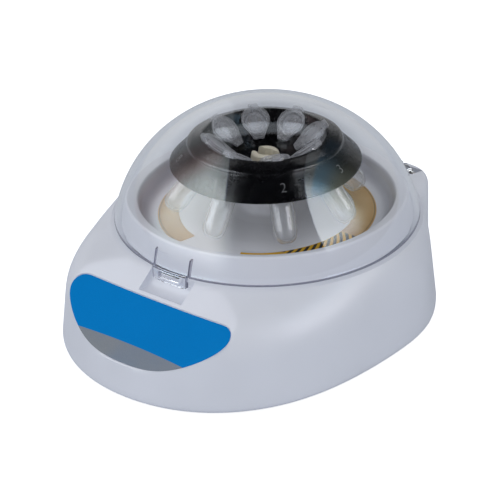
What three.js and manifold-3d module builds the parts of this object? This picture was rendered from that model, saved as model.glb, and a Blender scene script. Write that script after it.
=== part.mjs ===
// Laboratory mini centrifuge: egg-shaped housing, clear hinged dome, eight-place rotor.
// Millimetres. +Z up, front (latch, label) towards -Y, lid hinge at the rear (+Y), +X to the
// right seen from the front. Every shape is drawn with the rotor axis at x = y = 0. The assembly
// is then moved by AXIS_Y, which puts the origin on the table under the middle of the outline.
import * as THREE from 'three';
import { mergeVertices } from 'three/addons/utils/BufferGeometryUtils.js';
import Module from 'manifold-3d';

const wasm = await Module();
wasm.setup();

// ---------------------------------------------------------------- driving dimensions
const DEG = Math.PI / 180;
const AXIS_Y = 11.02;        // rotor axis behind the middle of the outline

// housing
const WALL = 2.4;
const Z_BOTTOM = 3.0;        // lower edge of the housing
const Z_BASE = 5.3;          // widest line of the housing
const Z_DECK = 45.2;         // flat deck under the lid
const R_DECK = 71.5;         // outer radius of the flat deck
const R_OPENING = 59.0;      // round opening for the rotor chamber
const CLEAR_TOP = 60;        // cuts through the top, front and rear run out to these
const CLEAR_FRONT = -90;
const CLEAR_REAR = 110;

// lid
const Z_RIM = 46.0;          // lower edge of the lid
const Z_SLIT = 56.0;         // top of the two slits beside the latch tongue
const TONGUE_HALF = 9.1;

// lid hinge
const PIN = [75.8, 40.0];    // y, z of the pin
const [PIN_Y, PIN_Z] = PIN;
const PIN_R = 1.5;
const RECESS = { half: 34.0, front: 69.8, rear: 80.8, floor: 35.5 };

// rotor places: each tube's cap centre lies on a spoke and the tube leans inwards at the top
const PLACES = 8;
const CAP_R = 20.8;
const CAP_Z = 82.2;
const TUBE_TILT = 37.7 * DEG;
const TUBE_FIRST = 48.27 * DEG;
const TUBE_R = 5.4;

// x, y of feet and screws
const FEET = [[52, -66], [-52, -66], [44, 50], [-44, 50]];
const BASE_SCREWS = [[30, -84], [-30, -84], [56, 28], [-56, 28]];
const MOTOR_SCREW_CIRCLE = 26;
const MOTOR_SCREWS = [90, 210, 330].map((deg) => [
  MOTOR_SCREW_CIRCLE * Math.cos(deg * DEG), MOTOR_SCREW_CIRCLE * Math.sin(deg * DEG),
]);

// rear panel: switch and power inlet share one height
const PANEL_Y = 82.6;
const PANEL_Z = 22;
const SWITCH_X = -15;
const INLET = [17, PANEL_Z]; // x, z

// circuit board on its standoffs
const BOARD = { x: [5, 39], y: [40, 62], z: [10, 11.6] };
const STANDOFF_INSET = 3;

// ---------------------------------------------------------------- solids and booleans
// welds a closed geometry into a solid, faces turned outwards
function solid(geometry) {
  geometry.deleteAttribute('normal');
  geometry.deleteAttribute('uv');
  const welded = mergeVertices(geometry, 1e-4);
  const coords = welded.attributes.position.array;
  const index = welded.index.array;
  const corner = (i) => new THREE.Vector3().fromArray(coords, 3 * i);
  const faces = [];
  let volume = 0;
  for (let i = 0; i < index.length; i += 3) {
    const [a, b, c] = index.slice(i, i + 3);
    if (a === b || b === c || a === c) continue;
    faces.push(a, b, c);
    volume += corner(a).dot(corner(b).cross(corner(c)));
  }
  if (volume < 0) {
    for (let i = 0; i < faces.length; i += 3) {
      [faces[i + 1], faces[i + 2]] = [faces[i + 2], faces[i + 1]];
    }
  }
  return new wasm.Manifold(new wasm.Mesh({
    numProp: 3, vertProperties: new Float32Array(coords), triVerts: new Uint32Array(faces),
  }));
}

function toGeometry(body) {
  const mesh = body.getMesh();
  const geometry = new THREE.BufferGeometry();
  const coords = new Float32Array(mesh.vertProperties);
  geometry.setAttribute('position', new THREE.BufferAttribute(coords, 3));
  geometry.setIndex(new THREE.BufferAttribute(new Uint32Array(mesh.triVerts), 1));
  geometry.computeVertexNormals();
  return geometry;
}

// the booleans take solids or closed geometries
const isSolid = (shape) => shape instanceof wasm.Manifold;
const asSolid = (shape) => (isSolid(shape) ? shape : solid(shape));
const join = (first, ...rest) => rest.reduce((body, s) => body.add(asSolid(s)), asSolid(first));
const cut = (first, ...tools) =>
  tools.reduce((body, s) => body.subtract(asSolid(s)), asSolid(first));
const common = (first, second) => asSolid(first).intersect(asSolid(second));

// ---------------------------------------------------------------- basic shapes
// spans are [from, to] along an axis
const around = (half, middle = 0) => [middle - half, middle + half];
const vectors = (points) => points.map(([x, y]) => new THREE.Vector2(x, y));
const block = ([x0, x1], [y0, y1], [z0, z1]) =>
  new THREE.BoxGeometry(x1 - x0, y1 - y0, z1 - z0)
    .translate((x0 + x1) / 2, (y0 + y1) / 2, (z0 + z1) / 2);

// cylinders along one axis, centred on a point of the other two
const rod = (radius, [from, to], sides) =>
  new THREE.CylinderGeometry(radius, radius, to - from, sides).translate(0, (from + to) / 2, 0);
const rodX = ([y, z], radius, span, sides) =>
  rod(radius, [-span[1], -span[0]], sides).rotateZ(Math.PI / 2).translate(0, y, z);
const rodY = ([x, z], radius, span, sides) => rod(radius, span, sides).translate(x, 0, z);
const rodZ = ([x, y], radius, span, sides) =>
  rod(radius, span, sides).rotateX(Math.PI / 2).translate(x, y, 0);
const rodsZ = (places, ...size) => places.map((place) => rodZ(place, ...size));

// body of revolution about Z, profile of [radius, z]; a ring profile closes on itself
const lathe = (profile, sides) =>
  new THREE.LatheGeometry(vectors(profile), sides).rotateX(Math.PI / 2);
const ring = (profile, sides) => lathe([...profile, profile[0]], sides);

// polygons pulled along one axis: [y, z] along X, [x, z] along Y, [x, y] along Z
const extrude = (points, [from, to]) =>
  new THREE.ExtrudeGeometry(new THREE.Shape(vectors(points)), {
    depth: to - from, bevelEnabled: false, steps: 1,
  });
const slabX = (points, span) => extrude(points, span).applyMatrix4(
  new THREE.Matrix4().set(0, 0, 1, span[0], 1, 0, 0, 0, 0, 1, 0, 0, 0, 0, 0, 1));
const slabY = (points, span) => extrude(points, span).applyMatrix4(
  new THREE.Matrix4().set(1, 0, 0, 0, 0, 0, -1, span[1], 0, 1, 0, 0, 0, 0, 0, 1));
const slabZ = (points, span) => extrude(points, span).translate(0, 0, span[0]);

// regular polygon swept along a curve
function sweep(extrudePath, radius, sides, steps) {
  const points = [];
  for (let i = 0; i < sides; i++) {
    const angle = (i * 360 / sides) * DEG;
    points.push([radius * Math.cos(angle), radius * Math.sin(angle)]);
  }
  const shape = new THREE.Shape(vectors(points));
  return new THREE.ExtrudeGeometry(shape, { steps, bevelEnabled: false, extrudePath });
}

// ---------------------------------------------------------------- housing skin
// half outline of the housing at its widest line: degrees from the front, radius
const OUTLINE = [
  [0, 107.7], [20, 105.1], [40, 96.5], [60, 86.3], [80, 80.9], [100, 80.3], [115, 78.6],
  [128, 77.6], [140, 78.9], [148, 82.6], [153, 86.9], [157.5, 89.8], [161, 89.8],
  [166, 88.1], [172, 86.5], [180, 85.6],
];
// radial sections of one half, degrees from the front; closer together at the rear corners
const HALF_STATIONS = [
  0, 8, 16, 24, 32, 40, 48, 56, 64, 72, 81, 90, 100, 110, 120, 129, 137, 142, 147, 151,
  154.5, 157.5, 160.5, 165, 172, 180,
];
const STATIONS = [
  ...HALF_STATIONS, ...HALF_STATIONS.slice(1, -1).reverse().map((deg) => 360 - deg),
];
// inward lean of the side wall per mm of height
const LEAN = { mean: 0.127, frontToRear: 0.027, rearLoss: 0.78, rearSpan: [128, 150] };
// height of the shoulder corner: mean and first two harmonics round the outline
const SHOULDER_Z = { mean: 39.18, once: -1.813, twice: 0.924 };
// how far the rounding reaches from the shoulder corner; shorter at the rear and inside
const ROUNDING = { reach: 13.2, rearLoss: 8.2, rearSpan: [122, 150], innerShare: 0.85 };
const ROUNDING_LIMIT = 0.9;  // largest share of a straight run that the rounding takes
const DECK_INSET_SHARE = 0.4;
const CAVITY_FLOOR = 1;      // below the housing's lower edge, so the cavity is open

const fromFront = (deg) => Math.min(deg, 360 - deg);

// smooth curve through OUTLINE, level at both ends
function outlineRadius(deg) {
  const side = fromFront(deg);
  const last = OUTLINE.length - 1;
  let i = 0;
  while (i < last - 1 && side > OUTLINE[i + 1][0]) i++;
  const slope = (j) => {
    if (j === 0 || j === last) return 0;
    const [degBefore, radiusBefore] = OUTLINE[j - 1];
    const [degAfter, radiusAfter] = OUTLINE[j + 1];
    return (radiusAfter - radiusBefore) / (degAfter - degBefore);
  };
  const [deg0, radius0] = OUTLINE[i];
  const [deg1, radius1] = OUTLINE[i + 1];
  const width = deg1 - deg0;
  const t = (side - deg0) / width;
  const t2 = t * t;
  const t3 = t2 * t;
  return (2 * t3 - 3 * t2 + 1) * radius0 + (t3 - 2 * t2 + t) * width * slope(i)
    + (-2 * t3 + 3 * t2) * radius1 + (t3 - t2) * width * slope(i + 1);
}

// point at most `reach` along the way between two [radius, z] points
function towards(from, to, reach) {
  const run = [to[0] - from[0], to[1] - from[1]];
  const length = Math.hypot(...run);
  const share = Math.min(reach, ROUNDING_LIMIT * length) / length;
  return [from[0] + run[0] * share, from[1] + run[1] * share];
}

// one radial section of the skin as [radius, z], `inset` inside the outer surface
function section(deg, inset) {
  const side = fromFront(deg);
  const rearness = ([from, to]) => THREE.MathUtils.smoothstep(side, from, to);
  const cosine = Math.cos(deg * DEG);
  const inside = inset > 0;
  const baseR = outlineRadius(deg) - inset;
  const lean = (LEAN.mean + LEAN.frontToRear * cosine)
    * (1 - LEAN.rearLoss * rearness(LEAN.rearSpan));
  const cornerZ = SHOULDER_Z.mean + SHOULDER_Z.once * cosine
    + SHOULDER_Z.twice * Math.cos(2 * deg * DEG) - inset;
  const corner = [baseR - lean * (cornerZ - Z_BASE), cornerZ];
  const deck = [R_DECK - inset * DECK_INSET_SHARE, Z_DECK - inset];
  const reach = (ROUNDING.reach - ROUNDING.rearLoss * rearness(ROUNDING.rearSpan))
    * (inside ? ROUNDING.innerShare : 1);
  const start = towards(corner, [baseR, Z_BASE], reach);
  const end = towards(corner, deck, reach);

  const points = inside
    ? [[0, CAVITY_FLOOR], [baseR, CAVITY_FLOOR]]
    : [[0, Z_BOTTOM], [baseR - 1.7, Z_BOTTOM], [baseR - 0.45, 3.8]];
  points.push([baseR, Z_BASE], [(baseR + start[0]) / 2, (Z_BASE + start[1]) / 2]);
  const steps = inside ? 4 : 6;
  for (let i = 0; i <= steps; i++) {
    const t = i / steps;
    const u = 1 - t;
    points.push([0, 1].map((k) => u * u * start[k] + 2 * t * u * corner[k] + t * t * end[k]));
  }
  points.push(deck, [0, deck[1]]);
  return points;
}

// a lathe supplies the face grid; its points are then moved onto the sections
function skin(inset) {
  const count = STATIONS.length;
  const grid = new THREE.LatheGeometry(vectors(section(0, inset)), count);
  for (let i = 0; i <= count; i++) {
    const deg = STATIONS[i % count];
    const angle = deg * DEG;
    section(deg, inset).forEach(([radius, z], j, { length }) => {
      grid.attributes.position.setXYZ(
        i * length + j, radius * Math.sin(angle), -radius * Math.cos(angle), z);
    });
  }
  return solid(grid);
}

// ---------------------------------------------------------------- front facet and its label
// shallow dished plane; local X across, Y out of the face, Z down the slope
const FACET_SLOPE = Math.atan(0.665);
const FACET_FRAME = new THREE.Matrix4().makeBasis(
  new THREE.Vector3(1, 0, 0),
  new THREE.Vector3(0, -Math.sin(FACET_SLOPE), Math.cos(FACET_SLOPE)),
  new THREE.Vector3(0, -Math.cos(FACET_SLOPE), -Math.sin(FACET_SLOPE)),
).setPosition(0, -79.2, 36.3);
const FACET_DISH = 742;      // the face rises by x * x / FACET_DISH
const FACET_STEP = 7.5;
// right half of the label: across, down the slope
const LABEL_HALF = [
  [0, 0], [20, 0], [37.2, 0], [41.3, 1.3], [43.4, 4.6], [43.2, 8.2], [40.6, 12.8],
  [36, 18], [29, 23.6], [20, 28.1], [10, 30.3], [0, 30.9],
];
const LABEL_CENTRE_Z = 12;
const LABEL_GAP = 0.45;      // between label and edge of its pocket
const LABEL_POCKET = 0.5;    // depth

function dishLine(height, half) {
  const points = [];
  for (let x = -half; x <= half; x += FACET_STEP) points.push([x, x * x / FACET_DISH + height]);
  return points;
}
// everything above the facet raised by `height`
function aboveFacet(height) {
  const half = 75;
  const top = 70;
  const points = [...dishLine(height, half), [half, top], [-half, top]];
  return slabZ(points, [-60, 70]).applyMatrix4(FACET_FRAME);
}
// layer between two heights over the facet, dished on both sides
function facetLayer(low, high) {
  const points = [...dishLine(low, 60), ...dishLine(high, 60).reverse()];
  return slabZ(points, [-20, 60]).applyMatrix4(FACET_FRAME);
}
// prism through the label outline, each point moved `grow` away from the centre
function labelPrism(grow) {
  const mirrored = LABEL_HALF.slice(1, -1).reverse().map(([x, z]) => [-x, z]);
  const points = [...LABEL_HALF, ...mirrored].map(([x, z]) => {
    const dz = z - LABEL_CENTRE_Z;
    const length = Math.hypot(x, dz);
    return [x + x / length * grow, z + dz / length * grow];
  });
  return slabY(points, [-6, 10]).applyMatrix4(FACET_FRAME);
}
const frontLabel = () => common(labelPrism(0), facetLayer(-0.44, -0.12));

// ---------------------------------------------------------------- upper housing
const NOTCH_X = around(12.5);
// catch nib at the back of the notch: y, z
const NIB = [[-66.9, 41.9], [-68.15, 42.3], [-68.15, 43.3], [-66.9, 44.6]];

function housingShell(outer) {
  // what is taken from the cavity stays as material round the cuts
  const cavity = cut(
    skin(WALL),
    aboveFacet(-WALL),
    block(around(16), [-86, -62], [31.5, CLEAR_TOP]),
    block(around(37), [66, CLEAR_REAR], [33.2, CLEAR_TOP]),
    block(around(60), [80.0, CLEAR_REAR], [-5, CLEAR_TOP]),
  );
  const posts = rodsZ(BASE_SCREWS, 3.4, [6.6, 44], 16).map((post) => common(post, outer));
  return join(cut(outer, cavity), ...posts);
}
function cutFront(housing) {
  const pocket = common(labelPrism(LABEL_GAP), facetLayer(-LABEL_POCKET, 8));
  const notch = block(NOTCH_X, [CLEAR_FRONT, -67.4], [40.2, CLEAR_TOP]);
  const fingerScoop = rodX([-74.7, 42.8], 7.2, NOTCH_X, 32);
  return join(cut(housing, aboveFacet(0), pocket, notch, fingerScoop), slabX(NIB, around(5.2)));
}
function cutHinge(housing) {
  const { half, front, rear, floor } = RECESS;
  return cut(
    housing,
    block(around(half), [front, rear], [floor, CLEAR_TOP]),
    block(around(half), [rear - 1, CLEAR_REAR], [41.2, CLEAR_TOP]),   // lowered rear wall
    rodX(PIN, PIN_R + 0.1, around(36.2), 16),
  );
}
function cutRearPanel(housing) {
  return cut(
    housing,
    block(around(27), [PANEL_Y, CLEAR_REAR], around(10.5, PANEL_Z)),
    block(around(9.8, SWITCH_X), [73, 90], around(6.3, PANEL_Z)),
    rodY(INLET, 4.7, [73, 97], 16),
  );
}
function upperHousing() {
  const shell = housingShell(skin(0));
  const opened = cut(shell, rodZ([0, 0], R_OPENING, [38, CLEAR_TOP], 40));
  const housing = cutRearPanel(cutHinge(cutFront(opened)));
  return cut(housing, ...rodsZ(BASE_SCREWS, 1.5, [5, 17], 12));
}

// ---------------------------------------------------------------- lid
// superellipse dome whose widest level lies below the rim
const DOME = { radius: 71.6, rise: 67.1, power: 2.063, wall: 2.0, belowRim: 14.76 };
const DOME_Z = Z_RIM - DOME.belowRim;
// arm from the dome to the hinge barrel: y, z
const HINGE_ARM = [
  [58, 46.5], [70.2, 46.5], [73.3, 41.6], [75.8, 40.9], [77.1, 42.4], [72.2, 48.0],
  [71, 49.0], [58, 49.0],
];
// drop-shaped lower edge of the tongue: x, z
const FLAP = [
  [-TONGUE_HALF, 46.6], [-TONGUE_HALF, 43.2], [-7, 40.7], [7, 40.7],
  [TONGUE_HALF, 43.2], [TONGUE_HALF, 46.6],
];
const TONGUE_Y = [CLEAR_FRONT, -40];

// outer dome from rim to apex
function domeOuter(steps) {
  const first = Math.asin((DOME.belowRim / DOME.rise) ** (DOME.power / 2));
  const points = [];
  for (let i = 0; i < steps; i++) {
    const angle = first + (Math.PI / 2 - first) * (i / steps);
    points.push([
      DOME.radius * Math.cos(angle) ** (2 / DOME.power),
      DOME_Z + DOME.rise * Math.sin(angle) ** (2 / DOME.power),
    ]);
  }
  points.push([0, DOME_Z + DOME.rise]);
  return points;
}
// inner dome, moved in at right angles to the outer one
function domeInner() {
  const steps = 10;
  const outer = domeOuter(steps);
  return outer.map(([radius, z], i) => {
    if (i === steps) return [0, z - DOME.wall];
    const before = outer[Math.max(0, i - 1)];
    const after = outer[i + 1];
    const run = [after[0] - before[0], after[1] - before[1]];
    const length = Math.hypot(...run);
    return [
      radius - run[1] / length * DOME.wall,
      i === 0 ? Z_RIM : z + run[0] / length * DOME.wall,
    ];
  });
}
const domeShell = () => lathe([...domeInner().reverse(), ...domeOuter(11)], 44);
function domeInside() {
  const inner = domeInner();
  const floor = Z_RIM - 4;
  return lathe([[0, floor], [inner[0][0], floor], ...inner], 44);
}

function lid() {
  const tongueGap = block(around(TONGUE_HALF + 0.8), TONGUE_Y, [30, Z_SLIT + 0.3]);
  let body = cut(domeShell(), tongueGap);
  for (const span of [[-29, -12], [12, 29]]) {
    const arm = cut(slabX(HINGE_ARM, span), domeInside());
    body = join(body, arm, rodX(PIN, 3.0, span, 24));
  }
  return cut(body, rodX(PIN, PIN_R + 0.15, around(40), 16));
}
function latchTongue() {
  const strip = common(domeShell(), block(around(TONGUE_HALF), TONGUE_Y, [44, Z_SLIT - 0.05]));
  const window = block(around(6), [-80, -60], [41.9, 45.0]);
  return cut(join(strip, slabY(FLAP, [-70.9, -68.6])), window);
}

const hingePin = () => rodX(PIN, PIN_R, around(36), 16);

// coil about the hinge pin with one leg resting in the recess
const SPRING = { turns: 5, radius: 2.75, wire: 0.45, half: 5.2, leg: 3.4, legShare: 0.1 };
class SpringCurve extends THREE.Curve {
  getPoint(t, target = new THREE.Vector3()) {
    const { turns, radius, half, leg, legShare } = SPRING;
    if (t < legShare) {
      return target.set(-half, PIN_Y - radius, PIN_Z - leg + leg * t / legShare);
    }
    const along = (t - legShare) / (1 - legShare);
    const angle = along * turns * 2 * Math.PI;
    return target.set(
      -half + 2 * half * along, PIN_Y - radius * Math.cos(angle), PIN_Z + radius * Math.sin(angle));
  }
}
const hingeSpring = () => sweep(new SpringCurve(), SPRING.wire, 4, 46);

// ---------------------------------------------------------------- rotor chamber
// radius, z
const CHAMBER_PROFILE = [
  [64.3, 45.5], [66.4, 45.5], [65.8, 49.6], [63.8, 56.2], [63.0, 57.0], [58.6, 55.6],
  [58.0, 54.4], [57.2, 51.4], [55.6, 48.8], [53.2, 46.9], [50.4, 46.2], [36.2, 46.2],
  [35.2, 47.2], [17, 47.6], [11.5, 49.0], [8.6, 58.6], [8.0, 59.2], [3.0, 59.2],
  [3.0, 57.0], [6.4, 57.0], [9.0, 47.6], [15, 45.6], [34, 45.1], [35.6, 44.2],
  [50.6, 44.2], [54.4, 45.2], [57.4, 47.4], [59.0, 50.8], [59.6, 53.4], [61.6, 53.9],
  [63.6, 49.4],
];
function rotorChamber() {
  const bosses = rodsZ(MOTOR_SCREWS, 3.2, [40.7, 46.0], 12);
  const bores = rodsZ(MOTOR_SCREWS, 1.55, [38, 45.4], 10);
  return cut(join(ring(CHAMBER_PROFILE, 40), ...bosses), ...bores);
}

// printed ring on the chamber floor, open at the front between two edges, degrees towards +X
const PRINT = { inner: 40.2, outer: 50.0, bottom: 46.28, top: 46.5, edges: [-16, 21] };
function chamberLabel() {
  const { inner, outer, bottom, top, edges } = PRINT;
  const gap = edges.map((deg) => [70 * Math.sin(deg * DEG), -70 * Math.cos(deg * DEG)]);
  const band = ring([[inner, bottom], [outer, bottom], [outer, top], [inner, top]], 40);
  return cut(band, slabZ([[0, 0], ...gap], [45, 48]));
}
const shaftSeal = () => ring([[1.8, 57.4], [2.9, 57.4], [2.9, 58.9], [1.8, 58.9]], 12);

// ---------------------------------------------------------------- motor
const BRACKET_Z = [37.5, 39.1];

const motorCan = () => ring([
  [1.9, 10.1], [16.4, 10.1], [17.5, 11.2], [17.5, 36.4], [16.6, 37.4], [6.0, 37.4],
  [6.0, 39.8], [1.9, 39.8],
], 24);
function motorEndCap() {
  const disc = lathe([[0, 8.2], [12.5, 8.2], [14.6, 9.2], [14.6, 10.0], [0, 10.0]], 28);
  const lugs = [-6, 6].map((x) => block(around(1.5, x), [12, 17.4], [8.2, 9.6]));
  return join(disc, ...lugs);
}
const motorShaft = () =>
  lathe([[0, 10.3], [1.5, 10.3], [1.5, 67.2], [1.2, 67.6], [0, 67.6]], 16);
function motorBracket() {
  const arms = MOTOR_SCREWS.map(([x, y]) =>
    block([0, MOTOR_SCREW_CIRCLE], around(4), BRACKET_Z).rotateZ(Math.atan2(y, x)));
  const ends = rodsZ(MOTOR_SCREWS, 4.4, BRACKET_Z, 12);
  const plate = join(rodZ([0, 0], 18.5, BRACKET_Z, 24), ...arms, ...ends);
  return cut(plate, rodZ([0, 0], 6.3, [30, 45], 16), ...rodsZ(MOTOR_SCREWS, 1.7, [30, 45], 12));
}
const motorGrommet = () =>
  ring([[1.7, 39.2], [3.4, 39.2], [3.8, 39.9], [3.4, 40.6], [1.7, 40.6]], 12);
const motorScrew = () => lathe([
  [0, 35.4], [2.4, 35.6], [2.9, 36.6], [2.9, 37.4], [1.3, 37.4], [1.3, 44.8], [0, 44.8],
], 10);

// ---------------------------------------------------------------- rotor, hub and tubes
// radius, z
const HUB_PROFILE = [
  [1.7, 60.4], [5.2, 60.4], [9.3, 62.6], [9.3, 64.2], [5.85, 64.3], [5.85, 70.9],
  [6.7, 71.5], [6.7, 72.4], [6.2, 74.9], [5.5, 75.6], [3.5, 75.6], [3.3, 66.6], [1.7, 66.4],
];
const FINGER_GAP = 5.2;      // between the hub's two snap fingers
const ROTOR_PROFILE = [
  [41.4, 71.2], [42.9, 71.2], [43.2, 71.7], [43.0, 72.3], [34.6, 80.4], [34.95, 81.0],
  [34.5, 81.7], [33.0, 82.4], [28.6, 83.7], [27.3, 83.9], [26.4, 83.2], [13.6, 71.45],
  [12.2, 70.6], [6.2, 70.6], [6.2, 64.5], [9.5, 64.5], [9.5, 67.5], [13, 67.9],
  [15.6, 70.3], [27.8, 81.2], [31.2, 80.4],
];

const rotorHub = () =>
  cut(ring(HUB_PROFILE, 24), block(around(10), around(FINGER_GAP / 2), [67.2, 80]));

// frame of place i: origin at the cap's top, Z along the tube, X outwards along the spoke
function tubeFrame(i) {
  const bearing = TUBE_FIRST + i * 2 * Math.PI / PLACES;   // from -Y towards +X
  return new THREE.Matrix4().makeRotationZ(bearing - Math.PI / 2)
    .multiply(new THREE.Matrix4().makeTranslation(CAP_R, 0, CAP_Z))
    .multiply(new THREE.Matrix4().makeRotationY(-TUBE_TILT));
}
function rotor() {
  let body = solid(ring(ROTOR_PROFILE, 40));
  for (let i = 0; i < PLACES; i++) {
    const hole = new THREE.CylinderGeometry(TUBE_R + 0.3, TUBE_R + 0.35, 24, 12)
      .rotateX(Math.PI / 2).translate(0, 0, -8);
    const seat = rodZ([0, 0], 7, [-3.35, 4.65], 14);       // flat seat for the tube's rim
    body = cut(body, hole.applyMatrix4(tubeFrame(i)), seat.applyMatrix4(tubeFrame(i)));
  }
  return body;
}
// closed sample tube, drawn in its place's frame
function tube() {
  const tip = -38.2;
  const seat = -3.15;
  const body = lathe([
    [0, tip], [2.2, tip + 0.5], [4.2, tip + 2.2], [TUBE_R - 0.05, tip + 5.6], [TUBE_R, seat],
    [6.4, seat + 0.1], [6.6, -1.6], [6.6, -0.4], [6.1, 0], [0, 0],
  ], 10);
  const livingHinge = block([5, 8.1], around(2.2), [-2.9, -0.5]);
  const thumbLip = slabZ([
    [-3.4, -5.5], [-3.4, 5.5], [-8.9, 2.75], [-9.9, 2.4], [-9.9, -2.4], [-8.9, -2.75],
  ], [-1.5, -0.3]);
  return join(body, livingHinge, thumbLip);
}

// ---------------------------------------------------------------- base
function basePlate() {
  const points = STATIONS.map((deg) => {
    const radius = outlineRadius(deg) - WALL - 0.5;
    return [radius * Math.sin(deg * DEG), Math.min(-radius * Math.cos(deg * DEG), 79.5)];
  });
  const plate = cut(slabZ(points, [3.6, 6.1]), ...rodsZ(BASE_SCREWS, 1.7, [0, 10], 12));
  const [left, right] = BOARD.x;
  const [front, rear] = BOARD.y;
  const standoffs = [front + STANDOFF_INSET, rear - STANDOFF_INSET].flatMap((y) =>
    [left + STANDOFF_INSET, right - STANDOFF_INSET].map((x) => [x, y]));
  return join(plate, ...rodsZ(standoffs, 2.4, [5.5, 9.9], 12));
}
const rubberFoot = () => lathe([[0, 0], [6.2, 0], [7.0, 0.7], [7.3, 3.55], [0, 3.55]], 16);
const baseScrew = () => lathe([
  [0, 1.7], [2.2, 1.7], [2.9, 2.4], [2.9, 3.5], [1.3, 3.5], [1.3, 15.8], [0, 15.8],
], 10);

// ---------------------------------------------------------------- electrics
function circuitBoard() {
  return join(
    block(BOARD.x, BOARD.y, BOARD.z),
    block([9, 17], [42, 47.5], [11, 18]),       // block where the motor leads end
    rodZ([29, 53], 4, [11, 22], 16),
    block([20, 25], [43, 49], [11, 13.5]),
    block([9, 17], [55, 60.5], [11, 18]),       // block where the supply leads end
  );
}
function lidSwitchBody() {
  const pins = [[19, 21], [31, 33]].map((x) => block(x, [-62.5, -60.5], [23.5, 28]));
  const plunger = block([22, 24], [-62.5, -60.5], [37, 38.2]);
  return join(block([17, 37], [-64.5, -58.5], [27.5, 37.5]), ...pins, plunger);
}
const lidSwitchLever = () => solid(block([17.6, 36.0], [-63.6, -59.4], [38.4, 38.9]));
function switchFrame() {
  const bezel = block(around(11, SWITCH_X), [82.7, 84.3], around(7.8, PANEL_Z));
  const body = block(around(9.4, SWITCH_X), [68, 82.9], around(5.9, PANEL_Z));
  const hollow = block(around(7.4, SWITCH_X), [72, 90], around(3.8, PANEL_Z));
  const terminals = [-4.75, 4.75].map((x) =>
    block(around(1.25, SWITCH_X + x), [63.5, 68.5], around(3, PANEL_Z)));
  return join(cut(join(bezel, body), hollow), ...terminals);
}
// rocker about its own axis along X: y, z
const ROCKER_Y = 80.7;
const switchRocker = () => slabX([
  [-3.4, -2.4], [3.5, -3.25], [4.7, -3.3], [3.6, 0], [4.7, 3.3], [3.5, 3.25], [-3.4, 2.4],
], around(7));
function dcInlet() {
  const body = join(rodY(INLET, 6.2, [82.7, 84.1], 16), rodY(INLET, 4.4, [68, 83], 16));
  return join(cut(body, rodY(INLET, 3.0, [72, 90], 12)), rodY(INLET, 1.0, [71.5, 82.5], 8));
}
function lead(points) {
  const path = new THREE.CatmullRomCurve3(points.map((point) => new THREE.Vector3(...point)));
  return sweep(path, 0.8, 6, 12);
}
// x, y, z along each lead
const LEADS = {
  motor_lead_1: [[6, 18.4, 8.9], [8, 24, 8.6], [11, 33, 13], [11, 40.8, 16]],
  motor_lead_2: [[-6, 18.4, 8.9], [-3, 27, 8.6], [9, 36, 17], [14.5, 41.0, 16.5]],
  supply_lead_1: [[-19.7, 62.6, 22], [-17, 54, 20], [-4, 54, 16], [8.2, 57, 15.4]],
  supply_lead_2: [[17, 67.1, 22], [17, 65.4, 21], [14.5, 62.5, 18], [13, 61.4, 15.5]],
};

// ---------------------------------------------------------------- finishes
const plain = (color, roughness) => ({ color, roughness, metalness: 0 });
const metal = (color, roughness) => ({ color, roughness, metalness: 1 });
const WHITE = 0xd9dce6;
const STEEL = 0xb9bcc0;
const FINISH = {             // colour, roughness
  housing: plain(WHITE, 0.38),
  chamber: plain(WHITE, 0.42),
  basePlate: plain(0xc9ccd4, 0.5),
  foot: plain(0x26272a, 0.85),
  steel: metal(STEEL, 0.35),
  brightSteel: metal(STEEL, 0.3),
  shaft: metal(0xc8cacc, 0.25),
  bracket: metal(0xa9adb2, 0.4),
  chamberLabel: plain(0xd9a24a, 0.45),
  frontLabel: plain(0x0075be, 0.35),
  seal: plain(0x5b5048, 0.9),
  endCap: plain(0x1d1e20, 0.6),
  grommet: plain(0x1b1c1e, 0.9),
  hub: plain(0xe9e2cc, 0.5),
  rotor: plain(0x111214, 0.18),
  tube: plain(0xe8ebee, 0.25),
  lid: plain(0xe6edf2, 0.05),
  board: plain(0x1f6b3c, 0.5),
  lidSwitch: plain(0x1a1a1c, 0.6),
  switchFrame: plain(0x161719, 0.5),
  rocker: plain(0x1c1d20, 0.4),
  inlet: plain(0x151618, 0.5),
  redLead: plain(0xb3261e, 0.5),
  blackLead: plain(0x1a1a1a, 0.5),
};

// ---------------------------------------------------------------- assembly
const root = new THREE.Group();
root.name = 'mini_centrifuge';

function add(name, shape, finish) {
  const geometry = isSolid(shape) ? toGeometry(shape) : shape;
  const mesh = new THREE.Mesh(geometry, new THREE.MeshStandardMaterial(finish));
  mesh.name = name;
  root.add(mesh);
  return mesh;
}

add('upper_housing', upperHousing(), FINISH.housing);
add('base_plate', basePlate(), FINISH.basePlate);
FEET.forEach(([x, y], i) => {
  add(`rubber_foot_${i + 1}`, rubberFoot(), FINISH.foot).position.set(x, y, 0);
});
BASE_SCREWS.forEach(([x, y], i) => {
  add(`base_screw_${i + 1}`, baseScrew(), FINISH.steel).position.set(x, y, 0);
});
add('rotor_chamber', rotorChamber(), FINISH.chamber);
add('chamber_label', chamberLabel(), FINISH.chamberLabel);
add('shaft_seal', shaftSeal(), FINISH.seal);
add('front_label', frontLabel(), FINISH.frontLabel);

add('motor_can', motorCan(), FINISH.steel);
add('motor_end_cap', motorEndCap(), FINISH.endCap);
add('motor_shaft', motorShaft(), FINISH.shaft);
add('motor_bracket', motorBracket(), FINISH.bracket);
MOTOR_SCREWS.forEach(([x, y], i) => {
  add(`motor_grommet_${i + 1}`, motorGrommet(), FINISH.grommet).position.set(x, y, 0);
  add(`motor_screw_${i + 1}`, motorScrew(), FINISH.steel).position.set(x, y, 0);
});

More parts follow.
